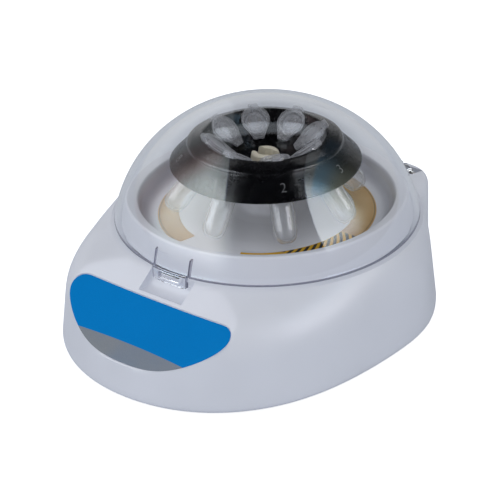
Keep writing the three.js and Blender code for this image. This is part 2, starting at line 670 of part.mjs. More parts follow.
add('rotor_hub', rotorHub(), FINISH.hub);
add('rotor', rotor(), FINISH.rotor);
for (let i = 0; i < PLACES; i++) {
  const mesh = add(`tube_${i + 1}`, tube(), FINISH.tube);
  mesh.position.setFromMatrixPosition(tubeFrame(i));
  mesh.quaternion.setFromRotationMatrix(tubeFrame(i));
}

add('lid', lid(), FINISH.lid);
add('lid_latch_tongue', latchTongue(), FINISH.lid);
add('lid_hinge_pin', hingePin(), FINISH.brightSteel);
add('lid_hinge_spring', hingeSpring(), FINISH.brightSteel);

add('circuit_board', circuitBoard(), FINISH.board);
add('lid_switch_body', lidSwitchBody(), FINISH.lidSwitch);
add('lid_switch_lever', lidSwitchLever(), FINISH.brightSteel);
add('power_switch_frame', switchFrame(), FINISH.switchFrame);
add('power_switch_rocker', switchRocker(), FINISH.rocker)
  .position.set(SWITCH_X, ROCKER_Y, PANEL_Z);
add('dc_inlet', dcInlet(), FINISH.inlet);
for (const [name, points] of Object.entries(LEADS)) {
  add(name, lead(points), name.endsWith('1') ? FINISH.redLead : FINISH.blackLead);
}

root.children.forEach((mesh) => { mesh.position.y += AXIS_Y; });

export default root;
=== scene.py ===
# A small bench centrifuge with an eight-place rotor under a clear hinged lid.
# Z is up and the feet stand on z = 0. The latch and the label face -Y, the hinge and the inlet +Y.
# Dimensions are in millimetres about the vertical rotor axis; finished pieces then move
# back by AXIS_Y into the product's frame.
from math import acos, asin, atan, atan2, cos, hypot, pi, radians, sin, tan

import bmesh
import bpy
import numpy as np
from mathutils import Matrix, Vector


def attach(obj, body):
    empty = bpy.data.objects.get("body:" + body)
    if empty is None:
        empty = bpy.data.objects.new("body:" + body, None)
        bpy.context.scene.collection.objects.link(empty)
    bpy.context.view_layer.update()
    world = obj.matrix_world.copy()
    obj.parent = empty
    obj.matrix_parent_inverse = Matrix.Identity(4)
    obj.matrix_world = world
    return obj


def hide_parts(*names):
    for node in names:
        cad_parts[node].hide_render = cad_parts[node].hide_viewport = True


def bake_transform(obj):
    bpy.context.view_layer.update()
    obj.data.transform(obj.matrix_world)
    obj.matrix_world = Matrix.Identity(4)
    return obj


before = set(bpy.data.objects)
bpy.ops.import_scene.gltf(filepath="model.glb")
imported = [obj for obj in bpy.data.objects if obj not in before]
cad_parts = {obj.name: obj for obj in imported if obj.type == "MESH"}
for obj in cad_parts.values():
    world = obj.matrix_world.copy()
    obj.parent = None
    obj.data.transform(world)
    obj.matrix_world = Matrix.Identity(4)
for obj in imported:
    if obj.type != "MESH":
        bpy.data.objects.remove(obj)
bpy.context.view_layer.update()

SCENE = bpy.context.scene
MM = 0.001

# ------------------------------------------------------------------ shared dimensions
AXIS_Y = 11.02                          # rotor axis in the product's frame
Z_BOTTOM, Z_BASE, Z_DECK = 3.0, 5.3, 45.2
Z_RIM = 46.0                            # foot of the lid
PIN = (75.8, 40.0)                      # hinge pin: y, z
TONGUE_HALF = 9.1                       # half width of the latch tongue
# Front facet: its top edge, slope, and the divisor of x squared that dishes it
FACET_Y, FACET_Z, FACET_SLOPE, FACET_DISH = -79.2, 36.3, atan(0.665), 742.0
FACET_NORMAL = (0.0, -sin(FACET_SLOPE), cos(FACET_SLOPE))


# ------------------------------------------------------------------ mesh helpers
def mesh_object(name, verts, faces):
    """Object from millimetre vertices, welded, with its normals facing out."""
    mesh = bpy.data.meshes.new(name)
    mesh.from_pydata([(x * MM, y * MM, z * MM) for x, y, z in verts], [], faces)
    obj = bpy.data.objects.new(name, mesh)
    SCENE.collection.objects.link(obj)
    bm = bmesh.new()
    bm.from_mesh(mesh)
    bmesh.ops.remove_doubles(bm, verts=bm.verts, dist=1e-6)
    bmesh.ops.recalc_face_normals(bm, faces=bm.faces)
    bm.to_mesh(mesh)
    bm.free()
    mesh.update()
    return obj


def lathe(name, profile, segments, closed=False):
    """Turns a profile of (radius, z) about the rotor axis."""
    verts, rows = [], []
    for radius, z in profile:
        if radius < 1e-6:
            rows.append([len(verts)] * segments)
            verts.append((0, 0, z))
        else:
            rows.append(list(range(len(verts), len(verts) + segments)))
            angles = [2 * pi * i / segments for i in range(segments)]
            verts += [(radius * sin(t), -radius * cos(t), z) for t in angles]
    faces, count = [], len(profile)
    for j in range(count if closed else count - 1):
        low, high = rows[j], rows[(j + 1) % count]
        for i in range(segments):
            k = (i + 1) % segments
            face = list(dict.fromkeys([low[i], low[k], high[k], high[i]]))
            if len(face) > 2:
                faces.append(face)
    return mesh_object(name, verts, faces)


def bezier(start, corner, end, t):
    u = 1 - t
    return tuple(u * u * a + 2 * t * u * p + t * t * b for a, p, b in zip(start, corner, end))


def lerp(start, end, t):
    return tuple(a + (b - a) * t for a, b in zip(start, end))


def rounded(corners, steps=4, closed=True):
    """Points of a polygon with rounded corners. Each corner is (x, y, radius)."""
    points, count = [], len(corners)
    for i, (x, y, radius) in enumerate(corners):
        if radius <= 0 or (not closed and i in (0, count - 1)):
            points.append((x, y))
            continue
        before, after = corners[i - 1], corners[(i + 1) % count]
        ax, ay, bx, by = before[0] - x, before[1] - y, after[0] - x, after[1] - y
        a_len, b_len = hypot(ax, ay), hypot(bx, by)
        cosine = max(-1, min(1, (ax * bx + ay * by) / (a_len * b_len)))
        reach = min(radius / max(1e-3, tan(acos(cosine) / 2)), 0.46 * a_len, 0.46 * b_len)
        start = (x + ax / a_len * reach, y + ay / a_len * reach)
        end = (x + bx / b_len * reach, y + by / b_len * reach)
        points += [bezier(start, (x, y), end, k / steps) for k in range(steps + 1)]
    return points


def densify(points, step):
    """Splits the long sides of a closed polygon."""
    out = []
    for i, a in enumerate(points):
        b = points[(i + 1) % len(points)]
        n = max(1, int(hypot(b[0] - a[0], b[1] - a[1]) / step))
        out += [(a[0] + (b[0] - a[0]) * k / n, a[1] + (b[1] - a[1]) * k / n) for k in range(n)]
    return out


def bevel(obj, width, steps=3, angle=30):
    """Rounds every edge sharper than the angle in degrees."""
    bm = bmesh.new()
    bm.from_mesh(obj.data)
    edges = [e for e in bm.edges
             if len(e.link_faces) == 2 and e.calc_face_angle(0) > radians(angle)]
    bmesh.ops.bevel(bm, geom=edges, offset=width * MM, segments=steps, profile=0.5,
                    affect="EDGES", clamp_overlap=True)
    bmesh.ops.recalc_face_normals(bm, faces=bm.faces)
    bm.to_mesh(obj.data)
    bm.free()
    return obj


def prism(name, points, axis, span, edge=0.0, steps=3):
    """Polygon pulled along an axis. Points are (y, z) for X, (x, z) for Y, (x, y) for Z."""
    def put(p, t):
        return {"X": (t, p[0], p[1]), "Y": (p[0], t, p[1]), "Z": (p[0], p[1], t)}[axis]
    n = len(points)
    verts = [put(p, t) for t in span for p in points]
    faces = [list(range(n))[::-1], list(range(n, 2 * n))]
    faces += [[i, (i + 1) % n, n + (i + 1) % n, n + i] for i in range(n)]
    obj = mesh_object(name, verts, faces)
    return bevel(obj, edge, steps) if edge > 0 else obj


def box(name, x, y, z, edge=0.0, steps=3):
    points = [(x[0], y[0]), (x[1], y[0]), (x[1], y[1]), (x[0], y[1])]
    return prism(name, points, "Z", z, edge, steps)


def cylinder(name, axis, centre, radius, span, segments=48, edge=0.0):
    angles = [2 * pi * i / segments for i in range(segments)]
    points = [(centre[0] + radius * cos(t), centre[1] + radius * sin(t)) for t in angles]
    return prism(name, points, axis, span, edge)


def boolean(solid, tool, operation):
    """Combines the tool with the solid and removes the tool."""
    modifier = solid.modifiers.new("cut", "BOOLEAN")
    modifier.operation, modifier.object, modifier.solver = operation, tool, "EXACT"
    bpy.context.view_layer.update()
    depsgraph = bpy.context.evaluated_depsgraph_get()
    mesh = bpy.data.meshes.new_from_object(solid.evaluated_get(depsgraph))
    solid.modifiers.clear()
    solid.data = mesh
    bpy.data.objects.remove(tool, do_unlink=True)


def cut(solid, *tools):
    for tool in tools:
        boolean(solid, tool, "DIFFERENCE")


def unite(solid, *tools):
    for tool in tools:
        boolean(solid, tool, "UNION")


def move(x, y, z):
    return Matrix.Translation((x * MM, y * MM, z * MM))


def transform(obj, matrix):
    obj.data.transform(matrix)
    return obj


def dress(piece, material, angle):
    """Moves a piece into the product's frame, shades it and gives it its material."""
    piece.data.transform(move(0, AXIS_Y, 0))
    for face in piece.data.polygons:
        face.use_smooth = True
    piece.data.set_sharp_from_angle(angle=radians(angle))
    piece.data.materials.clear()
    piece.data.materials.append(material)


def place(piece, body, slot, material, *nodes, angle=32):
    dress(piece, material, angle)
    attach(piece, body)
    if nodes:
        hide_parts(*nodes)


# ------------------------------------------------------------------ shader helpers
def operator(kind, swapped=False):
    def build(self, other):
        pair = (other, self) if swapped else (self, other)
        return self.graph.math(kind, *pair)
    return build


class Output:
    """An output of a shader node. Arithmetic on it adds Math nodes."""

    def __init__(self, graph, node, key=0):
        self.graph, self.node, self.socket = graph, node, node.outputs[key]

    def __getitem__(self, key):
        """Another output of the same node."""
        return Output(self.graph, self.node, key)

    __add__, __radd__ = operator("ADD"), operator("ADD", True)
    __sub__, __rsub__ = operator("SUBTRACT"), operator("SUBTRACT", True)
    __mul__, __truediv__, __pow__ = operator("MULTIPLY"), operator("DIVIDE"), operator("POWER")

    def __abs__(self):
        return self.graph.math("ABSOLUTE", self)

    def ramp(self, over, to=(0.0, 1.0), kind="SMOOTHSTEP"):
        """Maps the range `over` onto the range `to`, held at its ends."""
        options = {"interpolation_type": kind}
        return self.graph.add("MapRange", self, *over, *to, options=options)


class Graph:
    """Node tree of a material or a world. Colours are given as (r, g, b)."""

    def __init__(self, owner, output="OutputMaterial"):
        owner.use_nodes = True
        self.owner, self.tree = owner, owner.node_tree
        self.tree.nodes.clear()
        self.output = self.tree.nodes.new("ShaderNode" + output)

    def put(self, socket, value):
        if isinstance(value, Output):
            self.tree.links.new(value.socket, socket)
        else:
            socket.default_value = (*value, 1.0) if socket.type == "RGBA" else value

    def add(self, kind, *values, options=None, **inputs):
        """Adds a node; values fill its inputs in order, and underscores stand for spaces."""
        node = self.tree.nodes.new("ShaderNode" + kind)
        for key, value in (options or {}).items():
            setattr(node, key, value)
        for i, value in enumerate(values):
            self.put(node.inputs[i], value)
        for key, value in inputs.items():
            self.put(node.inputs[key.replace("_", " ")], value)
        return Output(self, node)

    def math(self, kind, *values, clamp=False):
        return self.add("Math", *values, options={"operation": kind, "use_clamp": clamp})

    def split(self, vector):
        parts = self.add("SeparateXYZ", vector)
        return parts[0], parts[1], parts[2]

    def position(self):
        return self.add("TexCoord")["Object"]

    def axis_position(self):
        """x and y in millimetres about the rotor axis."""
        x, y, _ = self.split(self.position())
        return x * 1000.0, y * 1000.0 - AXIS_Y

    def distance(self, x, y):
        return self.math("SQRT", x * x + y * y)

    def noise(self, scale, detail=3.0, rough=0.55, stretch=None):
        vector = self.position()
        if stretch:
            vector = self.add("Mapping", Vector=vector, Scale=stretch)
        return self.add("TexNoise", Vector=vector, Scale=scale, Detail=detail, Roughness=rough)

    def mottle(self, scale, detail=3.0, over=(0.3, 0.7), to=(0.0, 1.0), **noise):
        """Noise with its contrast raised."""
        return self.noise(scale, detail, **noise).ramp(over, to)

    def mix(self, factor, a, b):
        node = self.add("Mix", factor, options={"data_type": "RGBA"}).node
        self.put(node.inputs[6], a)
        self.put(node.inputs[7], b)
        return Output(self, node, 2)

    def bump(self, height, strength, depth, **normal):
        return self.add("Bump", Height=height, Strength=strength, Distance=depth, **normal)

    def attribute(self, name):
        return self.add("Attribute", options={"attribute_name": name})["Fac"]

    def surface(self, shader):
        self.put(self.output.inputs["Surface"], shader)
        return self.owner


def new_material(name):
    return Graph(bpy.data.materials.new(name))


def scaled(color, factor):
    return tuple(min(1, c * factor) for c in color)


# ------------------------------------------------------------------ materials
def smudges(g, rough, amount):
    """Roughness with handling smudges."""
    return g.mottle(scale=60, detail=4, rough=0.6, stretch=(1, 0.35, 1),
                    over=(0.45, 0.75), to=(0.0, amount)) + rough


def moulded_normal(g, grain=2600, strength=0.12):
    """Fine spark-erosion grain over a slight waviness."""
    waves = g.bump(g.noise(scale=45, detail=1), strength=0.12, depth=0.0004)
    return g.bump(g.noise(grain, detail=2), strength, depth=0.00006, Normal=waves)


def plastic_shader(g, color, rough=0.35, drift=0.03, grain=2600, grain_strength=0.12,
                   smudge=0.08, **extra):
    """Moulded plastic with colour drift, darker specks, grain and smudges."""
    base = g.mix(g.mottle(scale=22, detail=2),
                 scaled(color, 1 - 2.2 * drift), scaled(color, 1 + drift))
    specks = g.mottle(scale=900, detail=2, over=(0.70, 0.80), to=(0.0, 0.25))
    base = g.mix(specks, base, scaled(color, 0.8))
    roughness = smudges(g, rough, smudge) + g.mottle(scale=1800, detail=1, to=(-0.02, 0.03))
    return g.add("BsdfPrincipled", Base_Color=base, Roughness=roughness,
                 Normal=moulded_normal(g, grain, grain_strength), **extra)


def plastic(name, color, **look):
    g = new_material(name)
    return g.surface(plastic_shader(g, color, **look))


def rotor_material():
    """Black plastic whose turned lip is polished brighter than the cone."""
    g = new_material("rotor_black")
    cone_coat, lip_coat = 0.12, 0.75
    shader = plastic_shader(g, (0.0024, 0.0024, 0.0032), rough=0.24, drift=0.10, grain=1800,
                            grain_strength=0.05, smudge=0.12, Coat_Weight=cone_coat,
                            Coat_Roughness=0.06, Specular_IOR_Level=0.12)
    _, _, z = g.split(g.position())
    coat = z.ramp(over=(0.0797, 0.0804), to=(cone_coat, lip_coat), kind="LINEAR")
    g.put(shader.node.inputs["Coat Weight"], coat)
    return g.surface(shader)


def chamber_material():
    """White moulding with a plain white collar; the floor under the rotor is painted lighter as
    painted light, and the steep wall darker as painted shade.
    """
    g = new_material("chamber_white")
    radius = g.distance(*g.axis_position())
    # painted shade: the steep bowl wall is darkened where the rotor and the rim shade it, with a
    # mottled edge
    painted_wall_shade = radius.ramp(over=(51.0, 55.5)) * radius.ramp(over=(58.0, 59.2), to=(1.0, 0.0))
    base = g.mix(g.mottle(scale=22, detail=2), (0.80, 0.82, 0.885), (0.83, 0.85, 0.91))
    # painted light: the floor under the rotor is made lighter than the plastic to lift the rotor's
    # shadow
    base = g.mix(radius.ramp(over=(46.0, 51.0), to=(1.0, 0.0)), base, (0.93, 0.94, 0.975))
    base = g.mix(painted_wall_shade * g.mottle(scale=40, to=(0.85, 1.0)), base, (0.44, 0.46, 0.53))
    specks = g.mottle(scale=900, detail=2, over=(0.70, 0.80), to=(0.0, 0.2))
    base = g.mix(specks, base, (0.60, 0.62, 0.68))
    return g.surface(g.add("BsdfPrincipled", Base_Color=base, Normal=moulded_normal(g),
                           Roughness=smudges(g, rough=0.36, amount=0.06)))


def metal(name, color, rough, brush):
    """Brushed metal; brush stretches the streaks along x, y and z."""
    g = new_material(name)
    streak = g.noise(scale=700, rough=0.6, stretch=brush)
    base = g.mix(g.mottle(scale=120, over=(0.35, 0.7)), scaled(color, 0.82), color)
    return g.surface(g.add(
        "BsdfPrincipled", Base_Color=base, Metallic=1.0,
        Roughness=streak.ramp(over=(0.3, 0.7), to=(-0.06, 0.12)) + rough,
        Normal=g.bump(streak, strength=0.15, depth=0.00004)))


def rubber(name, color):
    g = new_material(name)
    pale = tuple(min(1, c * 2.2 + 0.01) for c in color)
    return g.surface(g.add(
        "BsdfPrincipled",
        Base_Color=g.mix(g.mottle(scale=300, detail=4, over=(0.4, 0.7)), color, pale),
        Roughness=g.mottle(scale=150, to=(0.72, 0.9)),
        Normal=g.bump(g.noise(scale=1600), strength=0.35, depth=0.0001)))


def lid_material():
    """Clear polymer. Light for shadows and diffuse bounces passes straight through."""
    g = new_material("lid_clear")
    haze = g.mottle(scale=420, detail=4, rough=0.65, stretch=(1, 1, 0.2),
                    over=(0.5, 0.8), to=(0.0, 0.03))
    scratches = g.mottle(scale=2300, detail=2, rough=0.7, stretch=(1, 0.08, 1),
                         over=(0.66, 0.7))
    waves = g.bump(g.noise(scale=14, detail=1), strength=0.05, depth=0.0006)
    # moulding stress: film thickness in nanometres drifts from the lid's left to its right
    x, y, _ = g.split(g.position())
    across = x * 786.2 + y * 618.0
    film = 238.0 + g.mottle(scale=16, detail=2, rough=0.5, to=(-22.0, 22.0))
    film = film + across.ramp(over=(-20.0, 12.0), to=(0.0, -58.0))
    film = film + across.ramp(over=(30.0, 50.0), to=(0.0, -12.0))
    film = film + across.ramp(over=(58.0, 80.0), to=(0.0, 125.0))
    shader = g.add("BsdfPrincipled", Base_Color=(0.975, 0.985, 1.0), Roughness=haze + 0.012,
                   IOR=1.52, Transmission_Weight=1.0, Thin_Film_Thickness=film,
                   Thin_Film_IOR=1.46,
                   Normal=g.bump(scratches, strength=0.02, depth=0.00002, Normal=waves))
    # painted shade: the slit walls and the foot ring get a grey-lilac diffuse that stands in for
    # the shaded gap lines, instead of showing black
    gap_shade_grey = g.mix(g.mottle(scale=900, detail=2), (0.30, 0.31, 0.40), (0.38, 0.39, 0.48))
    shader = g.add("MixShader", g.attribute("ground") * 0.66, shader,
                   g.add("BsdfDiffuse", Color=gap_shade_grey))
    path = g.add("LightPath")
    passing = g.math("MAXIMUM", path["Is Shadow Ray"], path["Is Diffuse Ray"])
    shader = g.add("MixShader", passing, shader,
                   g.add("BsdfTransparent", Color=(0.93, 0.93, 0.94)))
    return g.surface(g.add("MixShader", g.attribute("seam"), shader,
                           g.add("BsdfTransparent", Color=(1, 1, 1))))


def milky(name, haze, edge, rough, white, gloss, grain):
    """Natural polypropylene: thin, milky, more opaque at grazing angles, with flow marks."""
    g = new_material(name)
    flow = g.noise(scale=330, detail=4, rough=0.6, stretch=(1, 1, 0.3))
    waves = g.bump(g.noise(scale=90, detail=1), strength=0.06, depth=0.0003)
    normal = g.bump(flow, grain, depth=0.00008, Normal=waves)
    facing = g.add("LayerWeight", Blend=0.35, Normal=normal)["Facing"]
    streaks = flow.ramp(over=(0.3, 0.75), to=(-0.12 * haze, 0.18 * haze))
    opacity = g.math("ADD", facing ** 2.2 * edge + haze, streaks, clamp=True)
    color = g.mix(g.mottle(scale=140), scaled(white, 0.93), white)
    body = g.add("MixShader", 0.45, g.add("BsdfDiffuse", Color=color, Normal=normal),
                 g.add("BsdfTranslucent", Color=color, Normal=normal))
    clear = g.add("BsdfTransparent", Color=(0.975, 0.98, 0.985))
    shine = g.add("BsdfGlossy", Normal=normal,
                  Roughness=rough + flow.ramp(over=(0.3, 0.7), to=(-0.03, 0.05)))
    outside = 1.0 - g.add("NewGeometry")["Backfacing"]
    lit = (1.0 - g.add("LightPath")["Is Shadow Ray"]) * gloss
    sheen = g.add("Fresnel", IOR=1.45, Normal=normal) * outside * lit
    return g.surface(g.add("MixShader", sheen, g.add("MixShader", opacity, clear, body), shine))


def front_label_material():
    """Printed film: blue over a grey lower field, split by a shallow curve."""
    g = new_material("label_front")
    x, y = g.axis_position()
    down_slope = (FACET_Y - y) / cos(FACET_SLOPE)      # from the label's top edge
    split_line = 22.0 - x * x / -420.0
    lower = (down_slope - split_line).ramp(over=(-0.12, 0.12))
    screen = g.noise(scale=3000, detail=1)
    blue = g.mix(screen.ramp(over=(0.3, 0.7)), (0.0, 0.193, 0.555), (0.0, 0.213, 0.600))
    grey = g.mix(screen.ramp(over=(0.3, 0.7)), (0.225, 0.245, 0.275), (0.248, 0.270, 0.300))
    clouds = g.mottle(scale=35, over=(0.4, 0.75), to=(0.0, 0.12))
    waves = g.bump(g.noise(scale=30, detail=1), strength=0.05, depth=0.0003)
    grain = g.noise(scale=1400, detail=2)
    return g.surface(g.add(
        "BsdfPrincipled", Base_Color=g.mix(clouds, g.mix(lower, blue, grey), (0.0, 0.165, 0.47)),
        Roughness=g.mottle(scale=55, detail=4, over=(0.35, 0.75), to=(0.36, 0.50)),
        Normal=g.bump(grain, strength=0.10, depth=0.00005, Normal=waves),
        Specular_IOR_Level=0.03))


def chamber_label_material():
    """Amber foil ring with black diagonal bars on an arc right of the front."""
    g = new_material("label_chamber")
    x, y = g.axis_position()
    radius = g.distance(x, y)
    angle = g.math("ARCTAN2", x, y * -1.0)      # 0 at the front, positive to the right
    bars = g.math("SINE", angle * 68.0 + radius * 1.75).ramp(over=(-0.20, 0.10))
    arc = abs(angle - 1.20).ramp(over=(0.38, 0.39), to=(1.0, 0.0))
    band = radius.ramp(over=(40.5, 40.6)) * radius.ramp(over=(48.6, 48.8), to=(1.0, 0.0))
    front = angle.ramp(over=(0.75, 0.85), to=(1.0, 0.0)) * angle.ramp(over=(0.0, 0.1))
    base = g.mix(g.mottle(scale=90), (0.56, 0.32, 0.10), (0.64, 0.39, 0.14))
    base = g.mix(g.math("MAXIMUM", arc, front), base, (0.82, 0.47, 0.02))
    base = g.mix(bars * arc * band, base, (0.012, 0.011, 0.01))
    # white inner margin, widest just right of the front
    margin = angle.ramp(over=(0.35, 1.25), to=(1.75, 0.0)) * angle.ramp(over=(0.0, 0.2))
    inside = (radius - (40.0 + margin)).ramp(over=(-0.1, 0.1), to=(1.0, 0.0))
    base = g.mix(inside, base, (0.80, 0.82, 0.885))
    border = abs(radius - 49.2).ramp(over=(0.12, 0.2), to=(1.0, 0.0)) * 0.8
    base = g.mix(border, base, (0.10, 0.06, 0.02))
    grain = g.noise(scale=1500, detail=2)
    return g.surface(g.add("BsdfPrincipled", Base_Color=base,
                           Roughness=g.mottle(scale=200, to=(0.32, 0.45)),
                           Normal=g.bump(grain, strength=0.12, depth=0.00005)))


HOUSING_WHITE = plastic("housing_white", (0.715, 0.738, 0.815), rough=0.33, drift=0.018,
                        smudge=0.07)
CHAMBER_WHITE = chamber_material()
BASE_GREY = plastic("base_grey", (0.52, 0.54, 0.60), rough=0.5, drift=0.04, grain=1500,
                    grain_strength=0.3)
ROTOR_BLACK = rotor_material()
HUB_CREAM = plastic("hub_cream", (0.74, 0.69, 0.55), rough=0.42, drift=0.04,
                    Subsurface_Weight=0.15, Subsurface_Radius=(0.002, 0.002, 0.0022),
                    Subsurface_Scale=1.0)
BLACK = plastic("plastic_black", (0.012, 0.012, 0.014), rough=0.42, drift=0.1, grain=1300,
                grain_strength=0.4, smudge=0.1)
PRINT_GREY = plastic("print_grey", (0.16, 0.165, 0.17), rough=0.4, drift=0.05)
PRINT_WHITE = plastic("print_white", (0.75, 0.76, 0.78), rough=0.45, drift=0.05)
LID_CLEAR = lid_material()
TUBE_CLEAR = milky("tube_clear", haze=0.16, edge=0.46, rough=0.12, white=(0.90, 0.91, 0.93),
                   gloss=2.4, grain=0.05)
TUBE_CAP = milky("tube_cap", haze=0.24, edge=0.40, rough=0.30, white=(0.80, 0.81, 0.85),
                 gloss=0.5, grain=0.015)
STEEL = metal("steel", (0.60, 0.61, 0.63), rough=0.30, brush=(1, 1, 40))
SHAFT_STEEL = metal("shaft_steel", (0.70, 0.70, 0.71), rough=0.16, brush=(1, 1, 0.05))
BRACKET_STEEL = metal("bracket_steel", (0.55, 0.57, 0.59), rough=0.36, brush=(1, 20, 1))
RUBBER = rubber("rubber_black", (0.012, 0.012, 0.013))
FELT = rubber("felt", (0.08, 0.065, 0.05))
BOARD_GREEN = plastic("board_green", (0.015, 0.14, 0.055), rough=0.35, drift=0.12, grain=900,
                      grain_strength=0.2)
WIRE_RED = plastic("wire_red", (0.42, 0.015, 0.012), rough=0.4, drift=0.08)
WIRE_BLACK = plastic("wire_black", (0.01, 0.01, 0.011), rough=0.4, drift=0.08)
LABEL_FRONT = front_label_material()
LABEL_CHAMBER = chamber_label_material()

# ------------------------------------------------------------------ housing
WALL = 2.4
DECK_R, OPENING_R = 71.5, 59.0
LOWER_EDGE_IN = 1.9                     # how far the lower edge rounds in
# Plan outline, alike on both sides: (degrees from the front, radius at the lower edge)
OUTLINE = [
    (0, 107.7), (20, 105.1), (40, 96.5), (60, 86.3), (80, 80.9), (100, 80.3), (115, 78.6),
    (128, 77.6), (140, 78.9), (148, 82.6), (153, 86.9), (157.5, 89.8), (161, 89.8),
    (166, 88.1), (172, 86.5), (180, 85.6),
]


def clamped_spline(table):
    """Cubic spline through (degrees, radius), level at both ends and alike for +/- degrees."""
    x, y = np.array(table, float).T
    n = len(x)
    h = np.diff(x)
    matrix, rhs = np.zeros((n, n)), np.zeros(n)
    matrix[0, 0], matrix[0, 1] = 2 * h[0], h[0]
    rhs[0] = 6 * ((y[1] - y[0]) / h[0])
    matrix[-1, -1], matrix[-1, -2] = 2 * h[-1], h[-1]
    rhs[-1] = 6 * (0 - (y[-1] - y[-2]) / h[-1])
    for i in range(1, n - 1):
        matrix[i, i - 1:i + 2] = h[i - 1], 2 * (h[i - 1] + h[i]), h[i]
        rhs[i] = 6 * ((y[i + 1] - y[i]) / h[i] - (y[i] - y[i - 1]) / h[i - 1])
    bend = np.linalg.solve(matrix, rhs)

    def value(t):
        t = abs(t)
        i = min(n - 2, max(0, int(np.searchsorted(x, t) - 1)))
        a, b, step = x[i + 1] - t, t - x[i], h[i]
        return float(bend[i] * a ** 3 / (6 * step) + bend[i + 1] * b ** 3 / (6 * step)
                     + (y[i] / step - bend[i] * step / 6) * a
                     + (y[i + 1] / step - bend[i + 1] * step / 6) * b)
    return value


outline_radius = clamped_spline(OUTLINE)


def smoothstep(a, b, x):
    t = min(1.0, max(0.0, (x - a) / (b - a)))
    return t * t * (3 - 2 * t)


def section(degrees, inset):
    """Radial section (radius, z) of the skin, from the bottom edge up and in to the deck."""
    angle, turn = radians(degrees), abs(degrees)
    front = cos(angle)
    base = (outline_radius(degrees) - inset, Z_BASE)
    # the wall leans in less towards the rear; the shoulder's height varies round the housing
    lean = (0.127 + 0.027 * front) * (1 - 0.78 * smoothstep(128, 150, turn))
    shoulder_z = 39.18 - 1.813 * front + 0.924 * cos(2 * angle) - inset
    shoulder = (base[0] - lean * (shoulder_z - Z_BASE), shoulder_z)
    deck = (DECK_R - inset * 0.4, Z_DECK - inset)
    rounding = (13.2 - 8.2 * smoothstep(122, 150, turn)) * (0.85 if inset else 1)
    wall_len = hypot(base[0] - shoulder[0], base[1] - shoulder[1])
    top_len = hypot(deck[0] - shoulder[0], deck[1] - shoulder[1])
    start = lerp(shoulder, base, min(rounding, 0.9 * wall_len) / wall_len)
    end = lerp(shoulder, deck, min(rounding, 0.9 * top_len) / top_len)
    if inset:
        rows = [(base[0], Z_BOTTOM), base]
        wall_steps, round_steps, top_steps = 4, 6, 3
    else:
        quarter = [i / 6 * pi / 2 for i in range(7)]
        rows = [(base[0] - LOWER_EDGE_IN * (1 - sin(t)), Z_BASE - (Z_BASE - Z_BOTTOM) * cos(t))
                for t in quarter]
        wall_steps, round_steps, top_steps = 9, 16, 8
    rows += [lerp(base, start, i / wall_steps) for i in range(1, wall_steps)]
    rows += [bezier(start, shoulder, end, i / round_steps) for i in range(round_steps + 1)]
    rows += [lerp(end, deck, i / top_steps) for i in range(1, top_steps)]
    return rows + [deck]


def facet_cut(point, inset, blend):
    """Presses a point down onto the dished front facet, rounded off over the blend distance."""
    x, y, z = point
    height = ((y - FACET_Y) * FACET_NORMAL[1] + (z - FACET_Z) * FACET_NORMAL[2]
              - x * x / FACET_DISH + inset)
    if height <= -blend:
        return point
    pressed = 0.0 if height >= blend else -(blend - height) ** 2 / (4 * blend)
    drop = pressed - height
    return (x, y + FACET_NORMAL[1] * drop, z + FACET_NORMAL[2] * drop)


def inner_point(point):
    """The housing's inside, kept low behind the latch and the hinge and flat at the rear."""
    x, y, z = facet_cut(point, WALL, 0.6)
    if abs(x) < 21 and -92 < y < -58:
        z = min(z, 31.5)
    if abs(x) < 42 and y > 55:
        z = min(z, 33.2)
    return (x, min(y, 79.8), z)


def housing_skin(segments=336):
    deck_rows = [(DECK_R - 4.0, Z_DECK), (DECK_R - 8.0, Z_DECK), (OPENING_R + 0.5, Z_DECK),
                 (OPENING_R, Z_DECK - 0.5)]
    verts = []
    for i in range(segments):
        degrees = 360.0 * i / segments
        if degrees > 180:
            degrees -= 360
        east, north = sin(radians(degrees)), -cos(radians(degrees))
        outer = section(degrees, 0) + deck_rows
        inner = [(OPENING_R, Z_DECK - WALL)] + section(degrees, WALL)[::-1]
        verts += [facet_cut((r * east, r * north, z), 0.0, 0.7) for r, z in outer]
        verts += [inner_point((r * east, r * north, z)) for r, z in inner]
    rows = len(outer) + len(inner)
    faces = []
    for i in range(segments):
        a, b = i * rows, (i + 1) % segments * rows
        for j in range(rows):
            k = (j + 1) % rows
            faces.append([a + j, a + k, b + k, b + j])
    return mesh_object("housing_shell", verts, faces)


# Right half of the front label: (x, distance down the slope from its top edge)
LABEL_HALF = [
    (0, 0), (12, 0), (24, 0), (34, 0), (37.4, 0.05), (39.6, 0.5), (41.6, 1.7), (42.9, 3.6),
    (43.5, 6.0), (43.0, 8.8), (41.2, 12.2), (38.4, 15.6), (35, 18.9), (31, 22.1), (26, 25.3),
    (20, 28.1), (13, 30.0), (6, 30.75), (0, 30.9),
]
LABEL_MID = 12                          # centre of the label's rings, down the slope


def catmull_rom(points, steps):
    """Closed curve through the points."""
    out, count = [], len(points)
    for i in range(count):
        stations = [points[(i + k - 1) % count] for k in range(4)]
        for t in (k / steps for k in range(steps)):
            out.append(tuple(
                0.5 * (2 * b + (c - a) * t + (2 * a - 5 * b + 4 * c - d) * t * t
                       + (3 * b - a - 3 * c + d) * t ** 3)
                for a, b, c, d in zip(*stations)))
    return out


